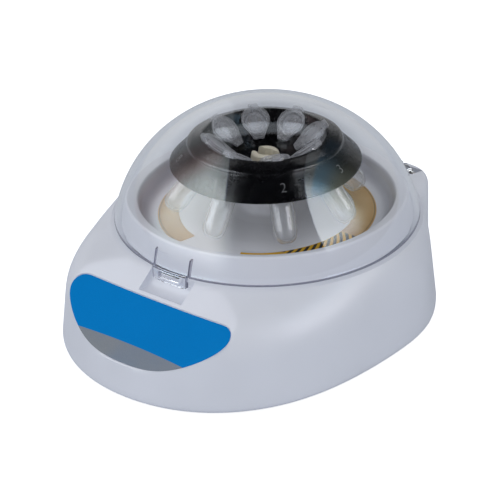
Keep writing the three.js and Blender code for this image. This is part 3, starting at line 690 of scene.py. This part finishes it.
def label_solid(name, grow, low, high):
    """The label's outline, grown outwards, from low to high millimetres off the facet."""
    curve = catmull_rom(LABEL_HALF + [(-x, s) for x, s in LABEL_HALF[1:-1][::-1]], steps=6)
    outline, n = [], len(curve)
    for i, (x, s) in enumerate(curve):
        a, b = curve[i - 1], curve[(i + 1) % n]
        dx, ds = b[0] - a[0], b[1] - a[1]
        length = hypot(dx, ds)
        outline.append((x + ds / length * grow, s - dx / length * grow))

    def on_facet(x, s, off):
        off += x * x / FACET_DISH
        return (x, FACET_Y - cos(FACET_SLOPE) * s + FACET_NORMAL[1] * off,
                FACET_Z - sin(FACET_SLOPE) * s + FACET_NORMAL[2] * off)

    # nested rings let the sheet follow the dish
    sizes = (1.0, 0.93, 0.8, 0.65, 0.5, 0.35, 0.2)
    verts, faces = [], []
    for off in (high, low):
        for q in sizes:
            verts += [on_facet(x * q, LABEL_MID + (s - LABEL_MID) * q, off) for x, s in outline]
        verts.append(on_facet(0, LABEL_MID, off))
    per_side = n * len(sizes) + 1
    for first in (0, per_side):
        for ring in range(len(sizes) - 1):
            o = first + ring * n
            faces += [[o + i, o + (i + 1) % n, o + n + (i + 1) % n, o + n + i] for i in range(n)]
        o = first + (len(sizes) - 1) * n
        faces += [[o + i, o + (i + 1) % n, first + per_side - 1] for i in range(n)]
    for i in range(n):
        k = (i + 1) % n
        faces.append([i, k, per_side + k, per_side + i])
    return mesh_object(name, verts, faces)


def housing():
    shell = housing_skin()
    cut(shell, label_solid("label_pocket", 0.45, -0.5, 6.0))
    # latch notch, finger scoop and nib
    cut(shell,
        box("notch", x=(-12.0, 12.0), y=(-92, -67.4), z=(40.6, 62), edge=0.6),
        cylinder("scoop", "X", (-74.2, 42.4), 5.9, (-12.0, 12.0), segments=96, edge=0.5))
    nib = rounded([(-66.9, 41.7, 0.3), (-68.15, 42.3, 0.3), (-68.15, 43.4, 0.3),
                   (-66.9, 44.6, 0.3)])
    unite(shell, prism("nib", nib, "X", (-5.2, 5.2)))
    # hinge recess, lowered rear wall, pin bore, then the rear panel and its two openings
    cut(shell,
        box("recess", x=(-34, 34), y=(69.8, 80.8), z=(35.5, 62), edge=1.6, steps=4),
        box("rear_cut", x=(-34, 34), y=(79.4, 100), z=(41.2, 62), edge=0.6),
        cylinder("pin_bore", "X", PIN, 1.62, (-36.2, 36.2), segments=32),
        box("panel", x=(-27, 27), y=(82.6, 110), z=(11.5, 32.5), edge=1.2),
        box("switch_hole", x=(-24.8, -5.2), y=(73, 90), z=(15.7, 28.3), edge=0.4),
        cylinder("inlet_hole", "Y", (17, 22), 4.7, (74, 95), segments=40))
    place(shell, "frame", "housing_white", HOUSING_WHITE, "upper_housing", angle=28)


def front_label():
    film = label_solid("front_label_film", 0.0, -0.46, -0.12)
    bevel(film, 0.08, steps=2, angle=50)
    place(film, "frame", "label_front", LABEL_FRONT, "front_label", angle=40)


housing()
front_label()

# ------------------------------------------------------------------ lid
# The dome is half a superellipse: radius, half height, centre above the rim, exponent
LID_R, LID_HALF_HEIGHT, LID_CENTRE, LID_POWER = 71.6, 67.1, -14.76, 2.063
LID_WALL = 2.0
DOME_STEPS = 64
LATCH_Y = (-95, -40)                    # reach of the cutters round the tongue
SLOT_TOP, TONGUE_TOP = 53.6, 53.55


def dome_outer():
    start = asin((-LID_CENTRE / LID_HALF_HEIGHT) ** (LID_POWER / 2))
    points = []
    for i in range(DOME_STEPS):
        t = start + (pi / 2 - start) * i / DOME_STEPS
        points.append((LID_R * cos(t) ** (2 / LID_POWER),
                       Z_RIM + LID_CENTRE + LID_HALF_HEIGHT * sin(t) ** (2 / LID_POWER)))
    return points + [(0.0, Z_RIM + LID_CENTRE + LID_HALF_HEIGHT)]


def dome_inner(outer):
    points = []
    for i, (r, z) in enumerate(outer):
        a, b = outer[max(0, i - 1)], outer[min(DOME_STEPS, i + 1)]
        dr, dz = b[0] - a[0], b[1] - a[1]
        length = hypot(dr, dz)
        points.append((r - dz / length * LID_WALL, z + dr / length * LID_WALL))
    points[0] = (points[0][0], Z_RIM)
    points[-1] = (0.0, outer[-1][1] - LID_WALL)
    return points


DOME_OUTER = dome_outer()
DOME_INNER = dome_inner(DOME_OUTER)


def dome_shell(name):
    outer_r, inner_r = DOME_OUTER[0][0], DOME_INNER[0][0]
    rim = [(inner_r, Z_RIM + 0.3), (inner_r + 0.3, Z_RIM),
           (outer_r - 0.3, Z_RIM), (outer_r, Z_RIM + 0.3)]
    return lathe(name, DOME_INNER[:0:-1] + rim + DOME_OUTER[1:], 256)


def hinge_arm(side):
    """Arm from the dome's rear down to a barrel on the hinge pin; side is -1 or 1."""
    span = (12, 29) if side > 0 else (-29, -12)
    corners = [(58, 46.5, 0), (70.2, 46.5, 0.8), (73.3, 41.6, 0.5), (75.8, 40.9, 0.3),
               (77.1, 42.4, 0.8), (72.2, 48.0, 1.5), (71, 49.0, 1.5), (58, 49.0, 0)]
    arm = prism("arm", rounded(corners), "X", span)
    foot = Z_RIM - 4
    cut(arm, lathe("plug", [(0, foot), (DOME_INNER[0][0], foot)] + DOME_INNER, 256))
    unite(arm, cylinder("barrel", "X", PIN, 3.0, span, segments=64))
    return arm


def mark_faces(obj, top, has_foot):
    """Marks faces for the clear material.

    seam: the facing ends of lid and tongue, which are one moulding and must not show.
    ground: the walls and ends of the slits, and the lid's foot ring, which carry the painted shade
    of the gap lines.
    """
    seam = obj.data.attributes.new("seam", "FLOAT", "FACE")
    # ground holds the faces that get the painted gap shade
    ground = obj.data.attributes.new("ground", "FLOAT", "FACE")
    verts = obj.data.vertices
    for i, face in enumerate(obj.data.polygons):
        centre, normal = face.center / MM, face.normal
        level = all(abs(verts[v].co.z - top * MM) < 0.02 * MM for v in face.vertices)
        joint = level and centre.y < -50 and abs(centre.x) < 9.3
        in_slit = 9.0 < abs(centre.x) < 10.0 and centre.y < -60 and centre.z < top + 0.5
        upright = abs(normal.x) > 0.97 or (abs(normal.z) > 0.9 and centre.z > top)
        foot = (has_foot and centre.z < Z_RIM + 0.32 and normal.z < -0.3
                and 60 < hypot(centre.x, centre.y) < 72)
        seam.data[i].value = float(joint)
        ground.data[i].value = float((in_slit and upright) or foot)


def lid():
    dome = dome_shell("lid_dome_shell")
    slit = (TONGUE_HALF, 9.9)
    for x in ((-slit[1], -slit[0]), slit):
        cut(dome, box("slit", x=x, y=LATCH_Y, z=(30, 53.75)))
    cut(dome, box("slot", x=(-9.2, 9.2), y=LATCH_Y, z=(30, SLOT_TOP)))
    for side in (-1, 1):
        unite(dome, hinge_arm(side))
    cut(dome, cylinder("pin_bore", "X", PIN, 1.65, (-40, 40), segments=32))
    mark_faces(dome, SLOT_TOP, has_foot=True)
    place(dome, "lid_dome", "lid_clear", LID_CLEAR, "lid", angle=30)


def latch_tongue():
    """Strip of the dome between the slits, with a flap and its window below."""
    half = TONGUE_HALF
    tongue = dome_shell("latch_tongue")
    boolean(tongue, box("keep", x=(-half, half), y=LATCH_Y, z=(44, TONGUE_TOP)), "INTERSECT")
    flap_corners = [(69.5, 41.0, 0.3), (71.35, 41.0, 0.3), (71.55, 41.4, 0.2),
                    (71.6, 46.0, 0.5), (71.45, 47.4, 0), (70.9, 47.4, 0), (69.6, 46.2, 0.3)]
    flap = lathe("flap", rounded(flap_corners, steps=3), 256, closed=True)
    trim = rounded([(-half, 50, 0), (-half, 40.9, 1.1), (half, 40.9, 1.1), (half, 50, 0)])
    boolean(flap, prism("trim", trim, "Y", LATCH_Y), "INTERSECT")
    unite(tongue, flap)
    window = rounded([(-5.6, 42.5, 0.4), (5.6, 42.5, 0.4), (5.6, 45.6, 0.4), (-5.6, 45.6, 0.4)])
    cut(tongue, prism("window", window, "Y", (-80, -60)))
    mark_faces(tongue, TONGUE_TOP, has_foot=False)
    dress(tongue, LID_CLEAR, angle=30)
    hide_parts("lid_latch_tongue")
    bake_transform(tongue)


lid()
latch_tongue()

# ------------------------------------------------------------------ chamber and its ring label
# Corners: (radius, z, rounding)
CHAMBER = [
    (64.3, 45.5, 0.2), (66.4, 45.5, 0.2), (65.8, 49.6, 0), (63.8, 56.2, 1.2), (63.0, 57.0, 1.0),
    (58.6, 55.6, 1.2), (58.0, 54.4, 1.5), (57.2, 51.4, 4), (55.6, 48.8, 4), (53.2, 46.9, 4),
    (50.4, 46.2, 4), (39.6, 46.2, 3), (33.0, 46.9, 9), (17, 47.6, 8), (11.5, 49.0, 4),
    (8.6, 58.6, 0.8), (8.0, 59.2, 0.8), (3.0, 59.2, 0.4), (3.0, 57.0, 0.2), (6.4, 57.0, 0.5),
    (9.0, 47.6, 0.5), (15, 45.6, 2), (34, 45.1, 0.4), (35.6, 44.2, 0.4), (50.6, 44.2, 2),
    (54.4, 45.2, 2), (57.4, 47.4, 2), (59.0, 50.8, 2), (59.6, 53.4, 0.5), (61.6, 53.9, 0.5),
    (63.6, 49.4, 1),
]
POST_CIRCLE_R = 26


def chamber():
    bowl = lathe("chamber_bowl", rounded(CHAMBER, steps=5), 192, closed=True)
    for degrees in (90, 210, 330):
        t = radians(degrees)
        centre = (POST_CIRCLE_R * cos(t), POST_CIRCLE_R * sin(t))
        unite(bowl, cylinder("post", "Z", centre, 3.2, (40.7, 46.0), segments=32))
        cut(bowl, cylinder("hole", "Z", centre, 1.55, (38, 45.4), segments=20))
    place(bowl, "frame", "chamber_white", CHAMBER_WHITE, "rotor_chamber", angle=30)


def ring_label():
    profile = [(40.2, 46.28), (50.0, 46.28), (50.0, 46.42), (49.9, 46.5), (45, 46.5),
               (40.3, 46.5), (40.2, 46.42)]
    ring = lathe("chamber_ring_label", profile, 240, closed=True)
    # the ring is open at the front, between these angles
    sides = [(70 * sin(radians(t)), -70 * cos(radians(t))) for t in (-16, 21)]
    cut(ring, prism("gap", [(0, 0)] + sides, "Z", (45, 48)))
    place(ring, "frame", "label_chamber", LABEL_CHAMBER, "chamber_label")


chamber()
ring_label()

# ------------------------------------------------------------------ rotor, hub, numerals
PLACES = 8
FIRST_PLACE, TUBE_TILT = radians(48.27), radians(37.7)
CAP_R, CAP_Z = 20.8, 82.2               # centre of each tube's cap
TUBE_R, TUBE_LEN, SEAT = 5.4, 38.2, 3.15
# Corners: (radius, z, rounding)
ROTOR = [
    (41.4, 71.2, 0.3), (42.9, 71.2, 0.3), (43.2, 71.7, 0.5), (43.0, 72.3, 0.5),
    (34.6, 80.4, 0.3), (34.95, 81.0, 0.5), (34.5, 81.7, 0.6), (33.0, 82.4, 1.2),
    (28.6, 83.7, 0.8), (27.3, 83.9, 0.8), (26.4, 83.2, 0.8), (13.6, 71.45, 1.5),
    (12.2, 70.6, 0.8), (6.2, 70.6, 0.3), (6.2, 64.5, 0.3), (9.5, 64.5, 0.3), (9.5, 67.5, 0.5),
    (13, 67.9, 1), (15.6, 70.3, 1), (27.8, 81.2, 0.8), (31.2, 80.4, 0.8),
]
HUB = [
    (1.7, 60.4, 0.2), (5.2, 60.4, 0.4), (9.3, 62.6, 0.6), (9.3, 64.2, 0.4), (5.85, 64.3, 0.2),
    (5.85, 70.9, 0.2), (6.7, 71.5, 0.3), (6.7, 72.4, 0.6), (6.2, 74.9, 0.8), (5.5, 75.6, 0.8),
    (3.5, 75.6, 0.7), (3.3, 66.6, 0.3), (1.7, 66.4, 0.2),
]


def spoke(i):
    return Matrix.Rotation(FIRST_PLACE + radians(i * 360 / PLACES) - pi / 2, 4, "Z")


def tube_frame(i):
    """Frame of a tube: origin at its cap, tube down -Z."""
    return spoke(i) @ move(CAP_R, 0, CAP_Z) @ Matrix.Rotation(-TUBE_TILT, 4, "Y")


def rotor():
    body = lathe("rotor_body", densify(rounded(ROTOR, steps=5), 3.0), 224, closed=True)
    for i in range(PLACES):
        hole = cylinder("hole", "Z", (0, 0), TUBE_R + 0.3, (-20, 4))
        face = cylinder("face", "Z", (0, 0), 7.0, (-3.35, 5), segments=64)
        cut(body, transform(hole, tube_frame(i)), transform(face, tube_frame(i)))
    place(body, "spindle", "rotor_black", ROTOR_BLACK, "rotor", angle=30)


def hub():
    fingers = lathe("hub_fingers", rounded(HUB), 96, closed=True)
    cut(fingers, box("gap", x=(-10, 10), y=(-2.6, 2.6), z=(67.2, 80)))
    bevel(fingers, 0.35, angle=60)
    place(fingers, "spindle", "hub_cream", HUB_CREAM, "rotor_hub", angle=30)


def numeral(i):
    """Raised number on the cone beside a place, upright up the slope and read from outside."""
    text = bpy.data.curves.new(f"numeral_{i + 1}", "FONT")
    text.body = str((i + 1) % PLACES + 1)
    text.size, text.extrude, text.offset = 6.2 * MM, 0.12 * MM, -0.13 * MM
    text.align_x = text.align_y = "CENTER"
    source = bpy.data.objects.new(f"numeral_{i + 1}", text)
    SCENE.collection.objects.link(source)
    bpy.context.view_layer.update()
    depsgraph = bpy.context.evaluated_depsgraph_get()
    mesh = bpy.data.meshes.new_from_object(source.evaluated_get(depsgraph))
    bpy.data.objects.remove(source, do_unlink=True)
    obj = bpy.data.objects.new(f"rotor_numeral_{i + 1}", mesh)
    SCENE.collection.objects.link(obj)
    cone_slope = atan2(8.1, 8.4)
    transform(obj, spoke(i) @ move(39.0, 0, 76.22) @ Matrix.Rotation(pi / 2, 4, "Z")
              @ Matrix.Rotation(cone_slope, 4, "X"))
    place(obj, "spindle", "rotor_black", PRINT_GREY, angle=40)


rotor()
hub()
for i in range(PLACES):
    numeral(i)

# ------------------------------------------------------------------ microtubes
# Corners in the tube's frame: (radius, z, rounding)
TUBE_OUTER = [
    (0, -TUBE_LEN, 0), (2.6, -TUBE_LEN + 0.15, 2.2), (4.6, -TUBE_LEN + 1.9, 2.8),
    (TUBE_R - 0.02, -TUBE_LEN + 5.2, 3.0), (TUBE_R, -SEAT - 0.1, 0.3), (6.35, -SEAT, 0.3),
    (6.4, -1.9, 0.2),
]
TUBE_INNER = [
    (5.35, -1.9, 0.2), (5.3, -SEAT - 0.5, 0.4), (4.55, -SEAT - 1.6, 0.6),
    (4.5, -TUBE_LEN + 6.0, 3.0), (3.8, -TUBE_LEN + 2.8, 2.4), (2.0, -TUBE_LEN + 1.15, 1.6),
    (0, -TUBE_LEN + 1.0, 0),
]
CAP = [
    (0, -0.75, 0), (3.9, -0.75, 0.4), (4.2, -0.1, 0.4), (6.2, 0.0, 0.3), (6.6, -0.4, 0.3),
    (6.6, -1.7, 0.2), (6.35, -1.8, 0.2), (5.25, -1.8, 0.2), (5.2, -4.4, 0.3),
    (4.6, -4.9, 0.3), (4.1, -4.5, 0.3), (4.1, -1.7, 0.4), (0, -1.6, 0),
]
# Lip corners (x, y, rounding) and strap corners (x, z, rounding)
LIP = [(-3.3, -5.55, 0), (-3.3, 5.55, 0), (-8.9, 2.75, 0.6), (-9.9, 2.4, 0.5),
       (-9.9, -2.4, 0.5), (-8.9, -2.75, 0.6)]
STRAP = [
    (4.9, -0.4, 0), (7.7, -0.45, 0.5), (8.1, -1.0, 0.5), (8.1, -2.2, 0.5), (7.5, -2.9, 0.4),
    (6.2, -2.9, 0.1), (6.2, -2.35, 0.1), (7.3, -2.2, 0.4), (7.35, -1.1, 0.4), (4.9, -1.2, 0),
]


def tube(i):
    profile = rounded(TUBE_OUTER, 5, closed=False) + rounded(TUBE_INNER, 5, closed=False)
    body = lathe(f"tube_body_{i + 1}", profile, 64)
    cap = lathe(f"tube_cap_{i + 1}", rounded(CAP, closed=False), 64)
    lip = prism("lip", rounded(LIP), "Z", (-1.5, -0.35), edge=0.2, steps=2)
    # the lip stops at the cap's recess
    cut(lip, cylinder("trim", "Z", (0, 0), 4.6, (-3, 2)))
    unite(cap, lip, prism("strap", rounded(STRAP), "Y", (-2.1, 2.1)))
    for part, material in ((body, TUBE_CLEAR), (cap, TUBE_CAP)):
        transform(part, tube_frame(i))
        place(part, "spindle", "tube_clear", material, f"tube_{i + 1}", angle=35)


for i in range(PLACES):
    tube(i)

# ------------------------------------------------------------------ underside: feet and screws
FEET = [(52, -66), (-52, -66), (44, 50), (-44, 50)]
SCREWS = [(30, -84), (-30, -84), (56, 28), (-56, 28)]
# Corners: (radius, z, rounding)
FOOT = [(0, 0, 0), (5.9, 0, 0.5), (7.0, 0.7, 0.8), (7.3, 3.5, 0.3), (0, 3.5, 0)]
SCREW = [(0, 1.7, 0), (2.0, 1.7, 0.8), (2.85, 2.4, 0.5), (2.9, 3.45, 0.1), (1.3, 3.5, 0.1),
         (1.3, 15.4, 0.2), (0.6, 15.8, 0.2), (0, 15.8, 0)]


def foot(i, x, y):
    pad = lathe(f"foot_pad_{i + 1}", rounded(FOOT, 5, closed=False), 64)
    cut(pad, lathe("dimple", [(0, -1), (3.2, -1), (3.0, 0.5), (2.4, 0.7), (0, 0.7)], 40))
    transform(pad, move(x, y, 0))
    place(pad, "frame", "rubber_black", RUBBER, f"rubber_foot_{i + 1}")


def base_screw(i, x, y):
    screw = lathe(f"base_screw_head_{i + 1}", rounded(SCREW, closed=False), 48)
    long, short = (-1.7, 1.7), (-0.3, 0.3)
    for slot_x, slot_y in ((long, short), (short, long)):
        cut(screw, box("cross_slot", x=slot_x, y=slot_y, z=(1.2, 2.7), edge=0.05, steps=1))
    # each screw stopped at its own angle
    transform(screw, move(x, y, 0) @ Matrix.Rotation(radians(17 + 41 * i), 4, "Z"))
    place(screw, "frame", "steel", STEEL, f"base_screw_{i + 1}")


for i, (x, y) in enumerate(FEET):
    foot(i, x, y)
for i, (x, y) in enumerate(SCREWS):
    base_screw(i, x, y)

# ------------------------------------------------------------------ rear: switch and inlet
ROCKER_CENTRE = (-15.0, 80.7, 22.0)
INLET = (17, 22)                        # x, z
# Corners about the rocker's centre: (y, z, rounding)
ROCKER = [(-3.4, -2.4, 0.3), (3.5, -3.2, 0.3), (4.6, -3.2, 0.4), (3.7, 0, 3.0),
          (4.6, 3.2, 0.4), (3.5, 3.2, 0.3), (-3.4, 2.4, 0.3)]


def switch():
    bezel = box("switch_bezel", x=(-26, -4), y=(82.7, 84.3), z=(14.2, 29.8), edge=0.5)
    unite(bezel, box("body", x=(-24.4, -5.6), y=(68, 83.2), z=(16.1, 27.9), edge=0.3))
    cut(bezel, box("well", x=(-22.4, -7.6), y=(72, 90), z=(18.2, 25.8), edge=0.5))
    for x in ((-21, -18.5), (-11.5, -9)):
        unite(bezel, box("terminal", x=x, y=(63.5, 68.5), z=(19, 25), edge=0.3))
    place(bezel, "frame", "plastic_black", BLACK, "power_switch_frame")
    key = prism("rocker_key", rounded(ROCKER, steps=6), "X", (-6.9, 6.9), edge=0.2, steps=2)
    transform(key, move(*ROCKER_CENTRE))
    place(key, "rocker", "plastic_black", BLACK, "power_switch_rocker")
    mark = box("mark_on", x=(-15.35, -14.65), y=(84.55, 84.85), z=(23.2, 25.0), edge=0.1, steps=1)
    place(mark, "rocker", "plastic_black", PRINT_WHITE)


def inlet():
    body = cylinder("inlet_body", "Y", INLET, 4.4, (68, 83.2), edge=0.3)
    unite(body, cylinder("flange", "Y", INLET, 6.2, (82.7, 84.1), segments=64, edge=0.4))
    cut(body, cylinder("bore", "Y", INLET, 3.0, (72, 90), segments=40))
    unite(body, cylinder("pin", "Y", INLET, 1.0, (71.5, 82.5), segments=24, edge=0.2))
    place(body, "frame", "plastic_black", BLACK, "dc_inlet")


switch()
inlet()

# ------------------------------------------------------------------ CAD pieces that stay
KEPT = {
    "base_plate": BASE_GREY, "shaft_seal": FELT, "motor_can": STEEL, "motor_end_cap": BLACK,
    "motor_shaft": SHAFT_STEEL, "motor_bracket": BRACKET_STEEL, "lid_hinge_pin": SHAFT_STEEL,
    "lid_hinge_spring": STEEL, "circuit_board": BOARD_GREEN, "lid_switch_body": BLACK,
    "lid_switch_lever": STEEL, "motor_lead_1": WIRE_RED, "motor_lead_2": WIRE_BLACK,
    "supply_lead_1": WIRE_RED, "supply_lead_2": WIRE_BLACK,
}
for i in (1, 2, 3):
    KEPT[f"motor_grommet_{i}"] = RUBBER
    KEPT[f"motor_screw_{i}"] = STEEL
ROUND_PARTS = ("motor", "lid_hinge", "supply", "shaft")
# Edge bevel widths in mm
EDGES = {"base_plate": 0.3, "lid_switch_body": 0.3, "circuit_board": 0.3,
         "lid_switch_lever": 0.1}
for name, material in KEPT.items():
    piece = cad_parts[name]
    piece.data.materials.clear()
    piece.data.materials.append(material)
    for face in piece.data.polygons:
        face.use_smooth = True
        face.material_index = 0
    piece.data.set_sharp_from_angle(angle=radians(46 if name.startswith(ROUND_PARTS) else 30))
    if name in EDGES:
        modifier = piece.modifiers.new("edge", "BEVEL")
        modifier.width, modifier.segments = EDGES[name] * MM, 2
        modifier.limit_method, modifier.angle_limit = "ANGLE", radians(50)

# ------------------------------------------------------------------ camera
# Azimuth is measured from the front towards the right
AZIMUTH, ELEVATION, ROLL = radians(38.173), radians(29.617), radians(-2.023)
CAMERA_DISTANCE = 779.81651
AIM_RIGHT, AIM_UP = 7.78807, 18.76514   # the rim's centre lies this far right of and above centre
FORWARD_X, FORWARD_Y = sin(AZIMUTH), -cos(AZIMUTH)      # level, towards the camera
VIEW_RIGHT = Vector((cos(AZIMUTH), sin(AZIMUTH), 0))


def camera():
    back = Vector((FORWARD_X * cos(ELEVATION), FORWARD_Y * cos(ELEVATION), sin(ELEVATION)))
    up = back.cross(VIEW_RIGHT)
    image_x = cos(ROLL) * VIEW_RIGHT + sin(ROLL) * up
    image_y = -sin(ROLL) * VIEW_RIGHT + cos(ROLL) * up
    location = (Vector((0, AXIS_Y, Z_RIM)) + CAMERA_DISTANCE * back
                - AIM_RIGHT * image_x - AIM_UP * image_y)
    lens = bpy.data.cameras.new("camera")
    lens.sensor_width, lens.lens, lens.clip_start = 36, 122.4, 0.01
    obj = bpy.data.objects.new("camera", lens)
    SCENE.collection.objects.link(obj)
    matrix = Matrix((image_x, image_y, back)).transposed().to_4x4()
    matrix.translation = location * MM
    obj.matrix_world = matrix
    SCENE.camera = obj


# ------------------------------------------------------------------ floor
def floor():
    """Pale floor that glows to the camera only."""
    half = 4000
    corners = [(-half, -half, 0), (half, -half, 0), (half, half, 0), (-half, half, 0)]
    ground = mesh_object("floor", corners, [[0, 1, 2, 3]])
    g = new_material("floor_pale")
    pale = g.mix(g.mottle(scale=3, detail=2), (0.66, 0.69, 0.75), (0.69, 0.72, 0.78))
    glow = g.add("Emission", Color=(1, 1, 1),
                 Strength=g.add("LightPath")["Is Camera Ray"] * 0.86)
    ground.data.materials.append(
        g.surface(g.add("AddShader", g.add("BsdfDiffuse", Color=pale), glow)))


# ------------------------------------------------------------------ world
def reflected_studio(g, z, right, toward, dot):
    """Softboxes left and right, a strip overhead and a pale backdrop, as mirrors see them."""
    # left box: crisp edge at the back, wide soft edge towards the camera
    edge = dot(VIEW_RIGHT.x + 0.255 * FORWARD_X, VIEW_RIGHT.y + 0.255 * FORWARD_Y, 0.027)
    crisp = edge.ramp(over=(-0.368, -0.352), to=(1.0, 0.0))
    wide = edge.ramp(over=(-0.52, -0.16), to=(0.85, 0.0))
    front = toward.ramp(over=(0.22, 0.48))
    left_box = crisp * (1.0 - front) + wide * front
    left_box = left_box * (z.ramp(over=(0.80, 0.97), to=(1.0, 0.16))
                           * z.ramp(over=(-0.05, 0.42), to=(0.10, 1.0)))
    left_box = left_box * toward.ramp(over=(-0.48, 0.08), to=(0.06, 1.0))
    edge = dot(VIEW_RIGHT.x - 0.066 * FORWARD_X, VIEW_RIGHT.y - 0.066 * FORWARD_Y, 0.337)
    right_box = edge.ramp(over=(0.690, 0.704)) * (
        z.ramp(over=(0.86, 0.98), to=(1.0, 0.14)) * z.ramp(over=(0.15, 0.42)))
    right_box = right_box * (toward.ramp(over=(-0.40, 0.0), to=(0.02, 0.16))
                             + toward.ramp(over=(0.0, 0.35), to=(0.0, 0.84)))
    strip = (toward.ramp(over=(-0.705, -0.690))
             * toward.ramp(over=(-0.56, -0.535), to=(1.0, 0.0)))
    strip = strip * (abs(right).ramp(over=(0.30, 0.40), to=(1.0, 0.0))
                     * z.ramp(over=(0.3, 0.5)))
    backdrop = (toward.ramp(over=(-0.75, -0.35), to=(1.0, 0.25))
                * z.ramp(over=(0.22, 0.45), to=(1.0, 0.0)))
    level = 0.002
    for source, strength in ((left_box, 4.4), (right_box, 4.5), (strip, 0.75), (backdrop, 0.62)):
        level = level + source * strength
    return level


def soft_studio(z, dot):
    """The same studio as soft light: a broad key from the front left, a fill from the right."""
    key = dot(-0.30, -0.62, 0.725).ramp(over=(0.15, 1.0))
    fill = dot(0.93, -0.15, 0.33).ramp(over=(0.2, 1.0))
    band = z.ramp(over=(0.08, 0.28)) * z.ramp(over=(0.50, 0.78), to=(1.0, 0.0))
    level = 0.280
    for source, strength in ((key, 0.60), (band, 0.17), (fill, 0.42)):
        level = level + source * strength
    return level


def studio_cast(g, right, toward):
    """Faint colour cast of the boxes."""
    neutral = (0.98, 0.99, 1.0)
    left_cast = g.mix(toward.ramp(over=(-0.42, -0.08)), (1.16, 0.88, 0.90), (0.95, 1.0, 1.04))
    right_cast = g.mix(right.ramp(over=(0.54, 0.74)), (0.62, 1.0, 1.32), (1.05, 1.03, 0.80))
    right_cast = g.mix(toward.ramp(over=(0.08, 0.38)), right_cast, (1.0, 0.985, 1.03))
    cast = g.mix(right.ramp(over=(0.46, 0.50)), neutral, right_cast)
    cast = g.mix(right.ramp(over=(-0.40, -0.36)), left_cast, cast)
    return g.mix(toward.ramp(over=(-0.64, -0.52)), neutral, cast)


def studio():
    world = bpy.data.worlds.new("studio")
    SCENE.world = world
    g = Graph(world, "OutputWorld")
    x, y, z = g.split(g.add("TexCoord")["Generated"])

    def dot(along_x, along_y, along_z):
        return x * along_x + y * along_y + z * along_z

    right = dot(VIEW_RIGHT.x, VIEW_RIGHT.y, 0)
    toward = dot(FORWARD_X, FORWARD_Y, 0)
    path = g.add("LightPath")
    mirrored = g.math("MAXIMUM", path["Is Glossy Ray"], path["Is Transmission Ray"])
    level = (mirrored * reflected_studio(g, z, right, toward, dot)
             + (1.0 - mirrored) * soft_studio(z, dot))
    color = g.mix(mirrored, (0.97, 0.985, 1.0), studio_cast(g, right, toward))
    g.surface(g.add("Background", Color=color, Strength=level))


def render_settings():
    view, cycles = SCENE.view_settings, SCENE.cycles
    view.view_transform = "Standard"
    view.look = "None"
    view.exposure = 0.0
    view.gamma = 1.0
    cycles.max_bounces = 16
    cycles.transmission_bounces = 14
    cycles.transparent_max_bounces = 24
    cycles.glossy_bounces = 6
    cycles.diffuse_bounces = 4
    cycles.caustics_reflective = False
    cycles.caustics_refractive = False


camera()
floor()
studio()
render_settings()
